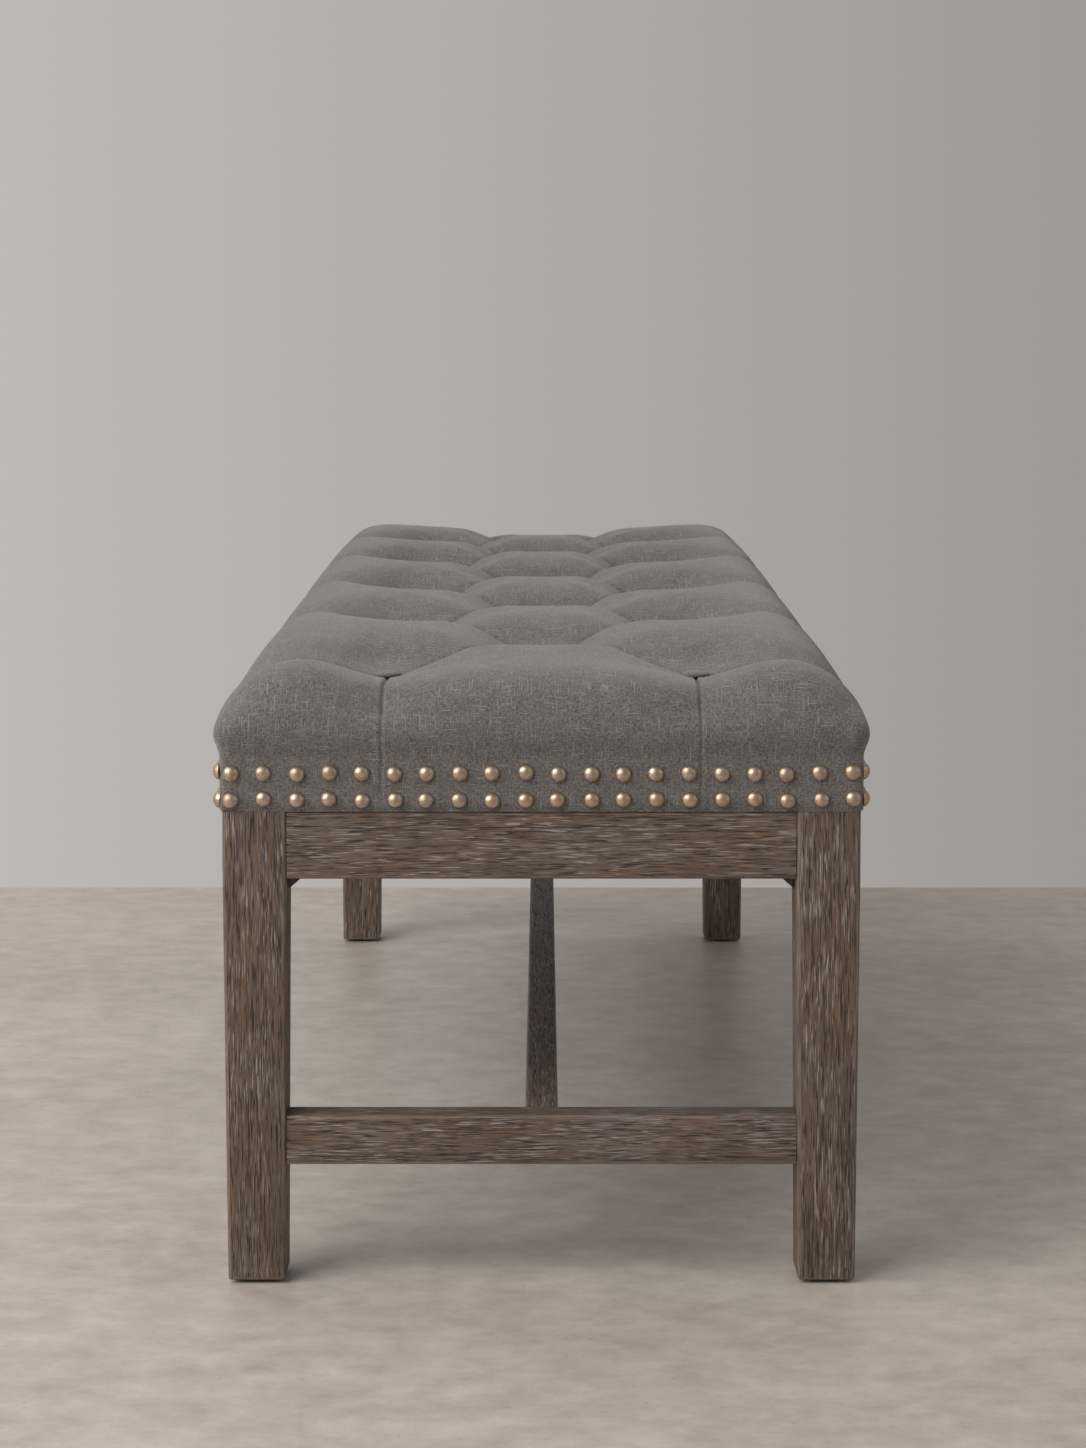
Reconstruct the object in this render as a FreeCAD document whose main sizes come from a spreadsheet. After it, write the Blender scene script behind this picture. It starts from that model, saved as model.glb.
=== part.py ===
import FreeCAD, Part
import Sketcher
import math
import os

# Upholstered bench: a solid wood base carrying a boxed seat whose cover is
# drawn down in seventeen tufts and fixed round its band with two rows of nails.
# X runs across the bench, Y along it, Z up; the origin is on the floor at its middle.
# "near" is the end at -Y and "left" is the side at -X.

V = FreeCAD.Vector
X_AXIS = V(1, 0, 0)
Y_AXIS = V(0, 1, 0)
Z_AXIS = V(0, 0, 1)

# Driving sizes in millimetres: name, value, what it measures
SIZES = [
    ("frame_width", 460, "wooden base over the legs, side to side"),
    ("frame_length", 1320, "wooden base over the legs, end to end"),
    ("base_height", 346, "floor to the top of the wooden base"),
    ("leg_section", 46, "square leg at its top"),
    ("leg_taper", 2.25, "drawn in on each face of a leg at its foot"),
    ("leg_ease", 1.2, "eased edge along the corners of a leg"),
    ("glide_thickness", 2.5, "head of the nailed glide under a foot"),
    ("glide_diameter", 24, "head of the glide"),
    ("glide_nail_diameter", 2.5, "nail of the glide"),
    ("glide_nail_length", 16, "nail of the glide above its head"),
    ("apron_height", 49, "depth of the boards under the seat"),
    ("apron_thickness", 22, "thickness of those boards"),
    ("apron_setback", 1, "aprons stand back from the faces of the legs"),
    ("board_round", 2, "radius along the edges of aprons and stretchers"),
    ("tenon_thickness", 8, "tenons of aprons and stretchers"),
    ("tenon_gap", 3, "wood left in a leg between its two apron tenons"),
    ("tenon_shoulder", 7, "shoulder above and below a tenon"),
    ("mortise_spare", 1, "mortise deeper than its tenon"),
    ("stretcher_clearance", 87.5, "floor to the underside of the end stretchers"),
    ("stretcher_height", 36, "depth of the end stretchers"),
    ("stretcher_thickness", 28, "thickness of the end stretchers"),
    ("stretcher_setback", 4, "end stretchers stand back from the faces of the legs"),
    ("stretcher_tenon", 22, "end stretcher tenon in the leg"),
    ("spine_width", 24, "long stretcher, side to side"),
    ("spine_height", 30, "long stretcher, top to underside"),
    ("spine_tenon", 14, "long stretcher tenon in an end stretcher"),
    ("glue_block_width", 9, "rubbed glue blocks beside the legs"),
    ("glue_block_drop", 11, "glue block below the apron, beside the leg"),
    ("glue_block_slant", 8, "rise of its slanted lower end"),
    ("brace_thickness", 20, "corner braces, square to their length"),
    ("brace_height", 36, "depth of the corner braces"),
    ("brace_gap", 1, "corner brace to glue block, and to the seat"),
    ("screw_diameter", 5, "seat screws"),
    ("screw_head", 9, "head of a seat screw, corner to corner"),
    ("screw_head_height", 3, "height of that head"),
    ("screw_grip", 18, "seat screw inside the seat rail"),
    ("fabric_thickness", 1.6, "linen over its lining"),
    ("soft_gap", 0.3, "clear space between soft and hard pieces"),
    ("hem_width", 25, "cover turned under the seat frame"),
    ("dust_cloth_thickness", 0.8, "cloth under the seat frame"),
    ("rail_height", 30, "seat frame rails"),
    ("rail_width", 45, "seat frame rails"),
    ("key_thickness", 8, "loose tenons in the corners of the seat frame"),
    ("key_width", 24, "loose tenons, along the rail's width"),
    ("key_clearance", 12, "end of a loose tenon to the seat screw"),
    ("slat_thickness", 9, "boards of the seat deck"),
    ("slat_gap", 4, "gap between deck boards, where the twine passes"),
    ("foam_thickness", 36, "foam slab on the deck"),
    ("foam_inset", 35, "foam slab inside the seat frame"),
    ("foam_chamfer", 10, "eased edges of the foam slab"),
    ("crown_height", 470, "floor to the highest part of the seat"),
    ("side_bulge", 6, "cushion beyond its nailed band"),
    ("bulge_rise", 13, "top of the band to the cushion's widest place"),
    ("side_rise", 42, "top of the band to the foot of the rounded shoulder"),
    ("side_lean", 12, "foot of the shoulder back from the widest place"),
    ("shoulder_height", 456, "floor to the top of the shoulder"),
    ("shoulder_run", 58, "band to the top of the shoulder, level"),
    ("brow_run", 26, "band to the middle of the shoulder, level"),
    ("brow_drop", 9.5, "middle of the shoulder below its top"),
    ("vault_height", 480, "top of the block that the pillows are rounded from"),
    ("end_fall", 190, "length over which the block falls to the shoulder of its end"),
    ("crest_run", 105, "start of that fall to its middle"),
    ("crest_rise", 17, "middle of the fall above the top of the shoulder"),
    ("pleat_depth", 20, "crown to the valley of a pleat"),
    ("pleat_reach", 100, "valley to where a pillow is level again"),
    ("pleat_fall", 32, "fall of a border pleat from its tuft to the band"),
    ("tuft_depth", 36, "crown to the seat of a button"),
    ("tuft_mouth", 76, "width of a tuft at the top of the block"),
    ("tuft_rows", 6, "rows of two tufts, with one tuft between two rows"),
    ("tuft_side_inset", 115, "outer tufts from the side of the frame"),
    ("tuft_end_inset", 90, "first tufts from the end of the frame"),
    ("button_diameter", 22, "covered buttons"),
    ("button_height", 6, "covered buttons"),
    ("button_gap", 1, "button to the wall of its tuft"),
    ("twine_width", 2, "tufting twine"),
    ("toggle_length", 26, "wooden toggles that hold the twine"),
    ("toggle_width", 8, "wooden toggles"),
    ("toggle_thickness", 5, "wooden toggles"),
    ("nail_diameter", 11, "domed head of an upholstery nail"),
    ("nail_rise", 3.6, "height of that dome"),
    ("nail_lower_row", 9, "top of the base to the lower row of nails"),
    ("nail_row_gap", 19.3, "lower row to upper row"),
    ("nail_corner", 8, "first nail from the corner of the band"),
    ("nails_across", 20, "nails in a row on an end"),
    ("nails_along", 56, "nails in a row on a side"),
]

doc = FreeCAD.newDocument("bench")
sizes = doc.addObject("Spreadsheet::Sheet", "sizes")
for row, (alias, value, meaning) in enumerate(SIZES, start=1):
    sizes.set("A%d" % row, meaning)
    sizes.set("B%d" % row, str(value))
    sizes.setAlias("B%d" % row, alias)
doc.recompute()

# Levels and planes that several pieces share, as formulas on the sheet
HALF_WIDTH = "sizes.frame_width / 2"
HALF_LENGTH = "sizes.frame_length / 2"
APRON_BOTTOM = "sizes.base_height - sizes.apron_height"
RAIL_BOTTOM = "sizes.base_height + sizes.fabric_thickness"
DECK_BOTTOM = RAIL_BOTTOM + " + sizes.rail_height"
DECK_TOP = DECK_BOTTOM + " + sizes.slat_thickness"
FACE_BEHIND_LEG = "(sizes.leg_section - sizes.apron_setback - sizes.apron_thickness)"
TUFT_COLUMN = "(sizes.frame_width / 2 - sizes.tuft_side_inset)"
FIRST_TUFT = "(sizes.frame_length / 2 - sizes.tuft_end_inset)"
TUFT_PITCH = "(2 * " + FIRST_TUFT + " / (sizes.tuft_rows - 1))"
COVER_REACH = "(sizes.soft_gap + sizes.fabric_thickness)"
APRON_TENON = ("(sizes.leg_section - sizes.apron_setback - sizes.tenon_gap"
               " - (sizes.apron_thickness + sizes.tenon_thickness) / 2)")

# Cutting solids run this far past the surfaces they cut
PAST = 1

pieces = []


def keep(piece, label):
    """Name a finished piece and put it on the list of pieces to write."""
    piece.Label = label
    pieces.append(piece)
    return piece


def new_body(name):
    return doc.addObject("PartDesign::Body", name)


def place(body, across="0", along="0", up="0", turn=0):
    """Put a body at formulas for its origin, turned about the vertical."""
    body.Placement = FreeCAD.Placement(V(0, 0, 0), FreeCAD.Rotation(Z_AXIS, turn))
    body.setExpression(".Placement.Base.x", across)
    body.setExpression(".Placement.Base.y", along)
    body.setExpression(".Placement.Base.z", up)


def new_sketch(body, name, role, right="0", up="0", lift="0"):
    """An empty sketch on one of the body's origin planes, moved by formulas."""
    sketch = body.newObject("Sketcher::SketchObject", name)
    planes = [f for f in body.Origin.OriginFeatures if f.Role == role]
    sketch.AttachmentSupport = (planes[0], "")
    sketch.MapMode = "FlatFace"
    sketch.setExpression(".AttachmentOffset.Base.x", right)
    sketch.setExpression(".AttachmentOffset.Base.y", up)
    sketch.setExpression(".AttachmentOffset.Base.z", lift)
    return sketch


def name_size(sketch, constraint, name, formula):
    index = sketch.addConstraint(constraint)
    sketch.renameConstraint(index, name)
    sketch.setExpression("Constraints." + name, formula)


def closed_lines(sketch, points):
    """A closed polygon through rough points; its constraints fix it later."""
    count = len(points)
    lines = [Part.LineSegment(V(*points[k], 0), V(*points[(k + 1) % count], 0)) for k in range(count)]
    sketch.addGeometry(lines, False)
    for k in range(count):
        sketch.addConstraint(Sketcher.Constraint("Coincident", k, 2, (k + 1) % count, 1))


def rectangle(body, name, role, width, height, **offsets):
    """A rectangle centred on its sketch's origin."""
    sketch = new_sketch(body, name, role, **offsets)
    closed_lines(sketch, [(-5, -5), (5, -5), (5, 5), (-5, 5)])
    for line, direction in enumerate(["Horizontal", "Vertical", "Horizontal", "Vertical"]):
        sketch.addConstraint(Sketcher.Constraint(direction, line))
    sketch.addConstraint(Sketcher.Constraint("Symmetric", 0, 1, 1, 2, -1, 1))
    name_size(sketch, Sketcher.Constraint("DistanceX", 0, 1, 0, 2, 10), "across", width)
    name_size(sketch, Sketcher.Constraint("DistanceY", 1, 1, 1, 2, 10), "tall", height)
    return sketch


def polygon(body, name, role, sides, diameter, **offsets):
    """A regular polygon inside a circle that is centred on the sketch's origin."""
    sketch = new_sketch(body, name, role, **offsets)
    turn = 2 * math.pi / sides
    closed_lines(sketch, [(5 * math.cos(k * turn), 5 * math.sin(k * turn)) for k in range(sides)])
    sketch.addGeometry(Part.Circle(V(0, 0, 0), Z_AXIS, 5), True)
    sketch.addConstraint(Sketcher.Constraint("Coincident", sides, 3, -1, 1))
    for k in range(sides):
        sketch.addConstraint(Sketcher.Constraint("PointOnObject", k, 1, sides))
    for k in range(1, sides):
        sketch.addConstraint(Sketcher.Constraint("Equal", 0, k))
    sketch.addConstraint(Sketcher.Constraint("PointOnObject", 0, 1, -1))
    name_size(sketch, Sketcher.Constraint("Diameter", sides, 10), "across", diameter)
    return sketch


def pad(body, profile, length, both_ways=False, back=False):
    feature = body.newObject("PartDesign::Pad", "pad")
    feature.Profile = profile
    feature.setExpression("Length", length)
    if both_ways:
        feature.SideType = "Symmetric"
    feature.Reversed = back
    doc.recompute()
    return feature


def pocket(body, profile, depth, both_ways=False, back=False):
    """Cut a pocket and make sure that it took something away."""
    before = body.Shape.Volume
    feature = body.newObject("PartDesign::Pocket", "pocket")
    feature.Profile = profile
    feature.setExpression("Length", depth)
    if both_ways:
        feature.SideType = "Symmetric"
    feature.Reversed = back
    doc.recompute()
    if body.Shape.Volume > before - 1:
        raise ValueError("pocket in " + body.Name + " cuts nothing")
    return feature


def edge_names(feature, wanted):
    """Names of the edges of a feature that pass a test on their two ends."""
    names = []
    for index, edge in enumerate(feature.Shape.Edges, start=1):
        if wanted(edge.Vertexes[0].Point, edge.Vertexes[-1].Point):
            names.append("Edge%d" % index)
    return names


def runs_along(axis):
    """Test for edges that run mainly along an axis."""
    return lambda a, b: abs((b - a).dot(axis)) > 0.9 * (b - a).Length


def soften(body, kind, feature, wanted, size):
    """A fillet or chamfer on the chosen edges of a feature."""
    dress = body.newObject("PartDesign::" + kind, kind.lower())
    dress.Base = (feature, edge_names(feature, wanted))
    dress.setExpression("Radius" if kind == "Fillet" else "Size", size)
    doc.recompute()
    return dress


def repeat(body, feature, sketch, steps):
    """Repeat a feature along its sketch's axes: axis, whole length, how many."""
    grid = body.newObject("PartDesign::MultiTransform", "grid")
    grid.Originals = [feature]
    rows = []
    for axis, length, count in steps:
        line = body.newObject("PartDesign::LinearPattern", "line")
        line.Direction = (sketch, [axis])
        line.setExpression("Length", length)
        line.setExpression("Occurrences", count)
        rows.append(line)
    grid.Transformations = rows
    body.Tip = grid
    doc.recompute()
    return grid


def mirror_image(source, label, normal):
    """The same piece on the other side of a plane through the origin."""
    image = doc.addObject("Part::Mirroring", label)
    image.Source = source
    image.Base = V(0, 0, 0)
    image.Normal = normal
    return keep(image, label)


def four_corners(source, stem):
    """The near left piece and its images at the other three corners."""
    keep(source, stem + "_near_left")
    right = mirror_image(source, stem + "_near_right", X_AXIS)
    mirror_image(source, stem + "_far_left", Y_AXIS)
    mirror_image(right, stem + "_far_right", Y_AXIS)


# Legs: square above, tapering below the aprons, mortised on their two inner faces
def eased_square(body, name, side, lift):
    """A square with cut corners, centred on the leg."""
    sketch = new_sketch(body, name, "XY_Plane", lift=lift)
    flat = "%s - 2 * sizes.leg_ease" % side
    closed_lines(sketch, [(-20, -23), (20, -23), (23, -20), (23, 20), (20, 23), (-20, 23), (-23, 20), (-23, -20)])
    for line in range(4):
        sketch.addConstraint(Sketcher.Constraint("Symmetric", line, 1, line + 4, 1, -1, 1))
    sketch.addConstraint(Sketcher.Constraint("Symmetric", 0, 1, 0, 2, -2))
    sketch.addConstraint(Sketcher.Constraint("Symmetric", 2, 1, 2, 2, -1))
    name_size(sketch, Sketcher.Constraint("DistanceX", 0, 1, 0, 2, 40), "flat_across", flat)
    name_size(sketch, Sketcher.Constraint("DistanceY", 2, 1, 2, 2, 40), "flat_along", flat)
    name_size(sketch, Sketcher.Constraint("DistanceX", 7, 1, 2, 1, 46), "across", side)
    name_size(sketch, Sketcher.Constraint("DistanceY", 0, 1, 5, 1, 46), "along", side)
    return sketch


def make_leg():
    body = new_body("leg")
    taper_length = APRON_BOTTOM + " - sizes.glide_thickness"
    foot = eased_square(body, "foot", "sizes.leg_section - 2 * sizes.leg_taper", "0")
    knee = eased_square(body, "knee", "sizes.leg_section", taper_length)
    taper = body.newObject("PartDesign::AdditiveLoft", "taper")
    taper.Profile = foot
    taper.Sections = [knee]
    taper.Ruled = True
    doc.recompute()
    pad(body, eased_square(body, "head", "sizes.leg_section", taper_length), "sizes.apron_height")
    # apron mortises, one in each inner face
    middle = "sizes.apron_setback + sizes.apron_thickness / 2 - sizes.leg_section / 2"
    height = "sizes.apron_height - 2 * sizes.tenon_shoulder"
    level = APRON_BOTTOM + " + sizes.apron_height / 2 - sizes.glide_thickness"
    deep = APRON_TENON + " + sizes.mortise_spare"
    face = "sizes.leg_section / 2"
    pocket(body, rectangle(body, "end_mortise", "YZ_Plane", "sizes.tenon_thickness", height,
                           right=middle, up=level, lift=face), deep)
    pocket(body, rectangle(body, "side_mortise", "XZ_Plane", "sizes.tenon_thickness", height,
                           right=middle, up=level, lift="-" + face), deep, back=True)
    # stretcher mortise in the tapered part of the face towards the other leg
    middle = "sizes.stretcher_setback + sizes.stretcher_thickness / 2 - sizes.leg_section / 2"
    height = "sizes.stretcher_height - 2 * sizes.tenon_shoulder"
    level = "sizes.stretcher_clearance + sizes.stretcher_height / 2 - sizes.glide_thickness"
    deep = "sizes.stretcher_tenon + sizes.mortise_spare + sizes.leg_taper"
    pocket(body, rectangle(body, "stretcher_mortise", "YZ_Plane", "sizes.tenon_thickness", height,
                           right=middle, up=level, lift=face), deep)
    # pilot hole for the glide
    pocket(body, polygon(body, "pilot", "XY_Plane", 6, "sizes.glide_nail_diameter"),
           "sizes.glide_nail_length", back=True)
    place(body, "-(sizes.frame_width - sizes.leg_section) / 2",
          "-(sizes.frame_length - sizes.leg_section) / 2", "sizes.glide_thickness")
    four_corners(body, "leg")


# Glides: a nailed disc under each foot
def make_glides():
    body = new_body("foot_glides")
    steps = [("H_Axis", "sizes.frame_width - sizes.leg_section", "2"),
             ("V_Axis", "sizes.frame_length - sizes.leg_section", "2")]
    disc = polygon(body, "disc", "XY_Plane", 12, "sizes.glide_diameter")
    repeat(body, pad(body, disc, "sizes.glide_thickness"), disc, steps)
    nail = polygon(body, "nail", "XY_Plane", 6, "sizes.glide_nail_diameter")
    repeat(body, pad(body, nail, "sizes.glide_thickness + sizes.glide_nail_length"), nail, steps)
    place(body, "-(sizes.frame_width - sizes.leg_section) / 2", "-(sizes.frame_length - sizes.leg_section) / 2")
    keep(body, "foot_glides")


def make_board(name, length, height, thickness, tenon, tenon_height):
    """A board along X, centred, with rounded edges and a tenon at each end."""
    body = new_body(name)
    board = pad(body, rectangle(body, "section", "YZ_Plane", thickness, height), length, both_ways=True)
    soften(body, "Fillet", board, runs_along(X_AXIS), "sizes.board_round")
    if tenon:
        tongue = rectangle(body, "tongue", "YZ_Plane", "sizes.tenon_thickness", tenon_height)
        pad(body, tongue, "%s + 2 * %s" % (length, tenon), both_ways=True)
    return body


# Aprons: four boards under the seat, tenoned into the legs
def make_aprons():
    height = "sizes.apron_height"
    thickness = "sizes.apron_thickness"
    tenon_height = "sizes.apron_height - 2 * sizes.tenon_shoulder"
    level = APRON_BOTTOM + " + sizes.apron_height / 2"
    inset = "sizes.apron_setback - sizes.apron_thickness / 2"
    end = make_board("end_apron", "sizes.frame_width - 2 * sizes.leg_section", height, thickness,
                     APRON_TENON, tenon_height)
    place(end, along="-(" + HALF_LENGTH + ") + sizes.apron_setback + sizes.apron_thickness / 2", up=level)
    keep(end, "end_apron_near")
    mirror_image(end, "end_apron_far", Y_AXIS)
    side = make_board("side_apron", "sizes.frame_length - 2 * sizes.leg_section", height, thickness,
                      APRON_TENON, tenon_height)
    place(side, across="-(" + HALF_WIDTH + ") + sizes.apron_setback + sizes.apron_thickness / 2", up=level, turn=90)
    keep(side, "side_apron_left")
    mirror_image(side, "side_apron_right", X_AXIS)


# Stretchers: one between the legs at each end, and a long one joining the two
def make_stretchers():
    # the leg's face has drawn back by this much at the stretcher's top edge
    top = "(sizes.stretcher_clearance + sizes.stretcher_height)"
    drawn_back = "(sizes.leg_taper * (%s - %s) / (%s - sizes.glide_thickness))" % (APRON_BOTTOM, top, APRON_BOTTOM)
    length = "sizes.frame_width - 2 * sizes.leg_section + 2 * " + drawn_back
    end = make_board("end_stretcher", length, "sizes.stretcher_height", "sizes.stretcher_thickness",
                     "sizes.stretcher_tenon", "sizes.stretcher_height - 2 * sizes.tenon_shoulder")
    spine_tenon_height = "sizes.spine_height - 2 * sizes.tenon_shoulder"
    spine_drop = "(sizes.stretcher_height - sizes.spine_height) / 2"
    inner_face = "-sizes.stretcher_thickness / 2"
    pocket(end, rectangle(end, "spine_mortise", "XZ_Plane", "sizes.tenon_thickness", spine_tenon_height,
                          up=spine_drop, lift=inner_face), "sizes.spine_tenon + sizes.mortise_spare", back=True)
    along = "-(%s) + sizes.stretcher_setback + sizes.stretcher_thickness / 2" % HALF_LENGTH
    place(end, along=along, up="sizes.stretcher_clearance + sizes.stretcher_height / 2")
    keep(end, "end_stretcher_near")
    mirror_image(end, "end_stretcher_far", Y_AXIS)
    spine_length = "sizes.frame_length - 2 * (sizes.stretcher_setback + sizes.stretcher_thickness)"
    spine = make_board("long_stretcher", spine_length, "sizes.spine_height", "sizes.spine_width",
                       "sizes.spine_tenon", spine_tenon_height)
    place(spine, up="sizes.stretcher_clearance + sizes.stretcher_height - sizes.spine_height / 2", turn=90)
    keep(spine, "long_stretcher")


# Glue blocks: rubbed into the angles between legs and aprons, slanted at the lower end
def make_glue_block(name, role, back):
    body = new_body(name)
    sketch = new_sketch(body, "side", role)
    closed_lines(sketch, [(0, 0), (5, 3), (5, 20), (0, 20)])
    for line, direction in ((1, "Vertical"), (2, "Horizontal"), (3, "Vertical")):
        sketch.addConstraint(Sketcher.Constraint(direction, line))
    sketch.addConstraint(Sketcher.Constraint("Coincident", 0, 1, -1, 1))
    name_size(sketch, Sketcher.Constraint("DistanceX", 0, 1, 0, 2, 5), "wide", "sizes.glue_block_width")
    name_size(sketch, Sketcher.Constraint("DistanceY", 0, 1, 0, 2, 3), "slant", "sizes.glue_block_slant")
    name_size(sketch, Sketcher.Constraint("DistanceY", 3, 2, 3, 1, 20), "tall",
              "sizes.apron_height + sizes.glue_block_drop - sizes.brace_gap")
    pad(body, sketch, FACE_BEHIND_LEG, back=back)
    return body


def make_glue_blocks():
    foot = APRON_BOTTOM + " - sizes.glue_block_drop"
    leg_face_x = "-(%s) + sizes.leg_section" % HALF_WIDTH
    leg_face_y = "-(%s) + sizes.leg_section" % HALF_LENGTH
    apron_face_x = "-(%s) + sizes.apron_setback + sizes.apron_thickness" % HALF_WIDTH
    apron_face_y = "-(%s) + sizes.apron_setback + sizes.apron_thickness" % HALF_LENGTH
    end_block = make_glue_block("end_glue_block", "XZ_Plane", True)
    place(end_block, leg_face_x, apron_face_y, foot)
    four_corners(end_block, "end_glue_block")
    side_block = make_glue_block("side_glue_block", "YZ_Plane", False)
    place(side_block, apron_face_x, leg_face_y, foot)
    four_corners(side_block, "side_glue_block")


# Corner braces: mitred blocks across the corners, each with a hole for its seat screw
def make_brace():
    body = new_body("brace")
    reach = "(2 * %s + sizes.glue_block_width + sizes.brace_gap)" % FACE_BEHIND_LEG
    slope = "(sizes.brace_thickness * sqrt(2))"
    sketch = new_sketch(body, "plan", "XY_Plane")
    closed_lines(sketch, [(5, 0), (9, 0), (0, 9), (0, 5)])
    for line, point, axis in ((0, 1, -1), (0, 2, -1), (2, 1, -2), (2, 2, -2)):
        sketch.addConstraint(Sketcher.Constraint("PointOnObject", line, point, axis))
    name_size(sketch, Sketcher.Constraint("DistanceX", -1, 1, 0, 1, 5), "reach", reach)
    name_size(sketch, Sketcher.Constraint("DistanceX", 0, 1, 0, 2, 4), "slope", slope)
    name_size(sketch, Sketcher.Constraint("DistanceY", -1, 1, 2, 2, 5), "reach_along", reach)
    name_size(sketch, Sketcher.Constraint("DistanceY", 2, 2, 2, 1, 4), "slope_along", slope)
    pad(body, sketch, "sizes.brace_height")
    pocket(body, polygon(body, "screw_hole", "XY_Plane", 6, "sizes.screw_diameter",
                         right="%s + %s / 2 - sizes.screw_head" % (reach, slope), up="sizes.screw_head"),
           "sizes.brace_height", back=True)
    corner_x = "-(%s) + sizes.apron_setback + sizes.apron_thickness" % HALF_WIDTH
    corner_y = "-(%s) + sizes.apron_setback + sizes.apron_thickness" % HALF_LENGTH
    place(body, corner_x, corner_y, "sizes.base_height - sizes.brace_gap - sizes.brace_height")
    four_corners(body, "corner_brace")
    return "%s + %s + %s / 2 - sizes.screw_head" % (corner_x, reach, slope), corner_y + " + sizes.screw_head"


# Seat screws: up through each corner brace into the end rail of the seat frame
def make_screws(screw_x, screw_y):
    body = new_body("seat_screws")
    spread_x = "-2 * (%s)" % screw_x
    spread_y = "-2 * (%s)" % screw_y
    head = polygon(body, "head", "XY_Plane", 6, "sizes.screw_head")
    first = pad(body, head, "sizes.screw_head_height")
    grid = repeat(body, first, head, [("H_Axis", spread_x, "2"), ("V_Axis", spread_y, "2")])
    shank = polygon(body, "shank", "XY_Plane", 6, "sizes.screw_diameter")
    shaft = pad(body, shank, "sizes.screw_head_height + sizes.brace_height + sizes.brace_gap"
                " + sizes.fabric_thickness + sizes.screw_grip")
    repeat(body, shaft, shank, [("H_Axis", spread_x, "2"), ("V_Axis", spread_y, "2")])
    place(body, screw_x, screw_y,
          "sizes.base_height - sizes.brace_gap - sizes.brace_height - sizes.screw_head_height")
    keep(body, "seat_screws")


# Seat frame: two long rails and two end rails between them, with loose tenons in the corners
def half_key_length(screw_x):
    """How far a loose tenon enters each rail: it stops short of the seat screw."""
    return "(%s - sizes.screw_diameter / 2 + %s - sizes.rail_width - sizes.key_clearance)" % (screw_x, HALF_WIDTH)


def make_seat_frame(screw_x, screw_y):
    half_key = half_key_length(screw_x)
    level = RAIL_BOTTOM + " + sizes.rail_height / 2"
    side = new_body("seat_rail_side")
    pad(side, rectangle(side, "section", "YZ_Plane", "sizes.rail_width", "sizes.rail_height"),
        "sizes.frame_length", both_ways=True)
    slot = rectangle(side, "key_slot", "XZ_Plane", "sizes.key_width", "sizes.key_thickness",
                     right="-(sizes.frame_length - sizes.rail_width) / 2", lift="sizes.rail_width / 2")
    repeat(side, pocket(side, slot, half_key), slot, [("H_Axis", "sizes.frame_length - sizes.rail_width", "2")])
    place(side, "-(%s) + sizes.rail_width / 2" % HALF_WIDTH, up=level, turn=90)
    keep(side, "seat_rail_left")
    mirror_image(side, "seat_rail_right", X_AXIS)
    end = new_body("seat_rail_end")
    length = "sizes.frame_width - 2 * sizes.rail_width"
    pad(end, rectangle(end, "section", "YZ_Plane", "sizes.rail_width", "sizes.rail_height"), length, both_ways=True)
    for sign, back in (("", False), ("-", True)):
        slot = rectangle(end, "key_slot", "YZ_Plane", "sizes.key_width", "sizes.key_thickness",
                         lift="%s(%s) / 2" % (sign, length))
        pocket(end, slot, half_key, back=back)
    pilot = polygon(end, "pilot", "XY_Plane", 6, "sizes.screw_diameter", right=screw_x,
                    up="%s + %s - sizes.rail_width / 2" % (screw_y, HALF_LENGTH), lift="-sizes.rail_height / 2")
    cut = pocket(end, pilot, "sizes.screw_grip", back=True)
    repeat(end, cut, pilot, [("H_Axis", "-2 * (%s)" % screw_x, "2")])
    place(end, along="-(%s) + sizes.rail_width / 2" % HALF_LENGTH, up=level)
    keep(end, "seat_rail_near")
    mirror_image(end, "seat_rail_far", Y_AXIS)


def make_keys(screw_x):
    body = new_body("seat_frame_keys")
    half_key = half_key_length(screw_x)
    key = rectangle(body, "key", "YZ_Plane", "sizes.key_width", "sizes.key_thickness", lift="-" + half_key)
    repeat(body, pad(body, key, "2 * " + half_key), key,
           [("N_Axis", "sizes.frame_width - 2 * sizes.rail_width", "2"),
            ("H_Axis", "sizes.frame_length - sizes.rail_width", "2")])
    place(body, "-(%s) + sizes.rail_width" % HALF_WIDTH, "-(%s) + sizes.rail_width / 2" % HALF_LENGTH,
          RAIL_BOTTOM + " + sizes.rail_height / 2")
    keep(body, "seat_frame_keys")


# Seat deck: boards across the frame, with a gap under every row of tufts
def make_deck():
    rows = int(sizes.tuft_rows)
    half_pitch = TUFT_PITCH + " / 2"
    inner = half_pitch + " - sizes.slat_gap"
    outer = "sizes.tuft_end_inset - sizes.slat_gap / 2"
    for index in range(2 * rows):
        body = new_body("deck_slat")
        outermost = index in (0, 2 * rows - 1)
        width = outer if outermost else inner
        if index == 0:
            middle = "-(%s) + (%s) / 2" % (HALF_LENGTH, outer)
        elif outermost:
            middle = "%s - (%s) / 2" % (HALF_LENGTH, outer)
        else:
            middle = "-%s + (%g) * %s" % (FIRST_TUFT, index - 0.5, half_pitch)
        pad(body, rectangle(body, "board", "XY_Plane", "sizes.frame_width", width), "sizes.slat_thickness")
        place(body, along=middle, up=DECK_BOTTOM)
        keep(body, "deck_slat_%02d" % (index + 1))


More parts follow.
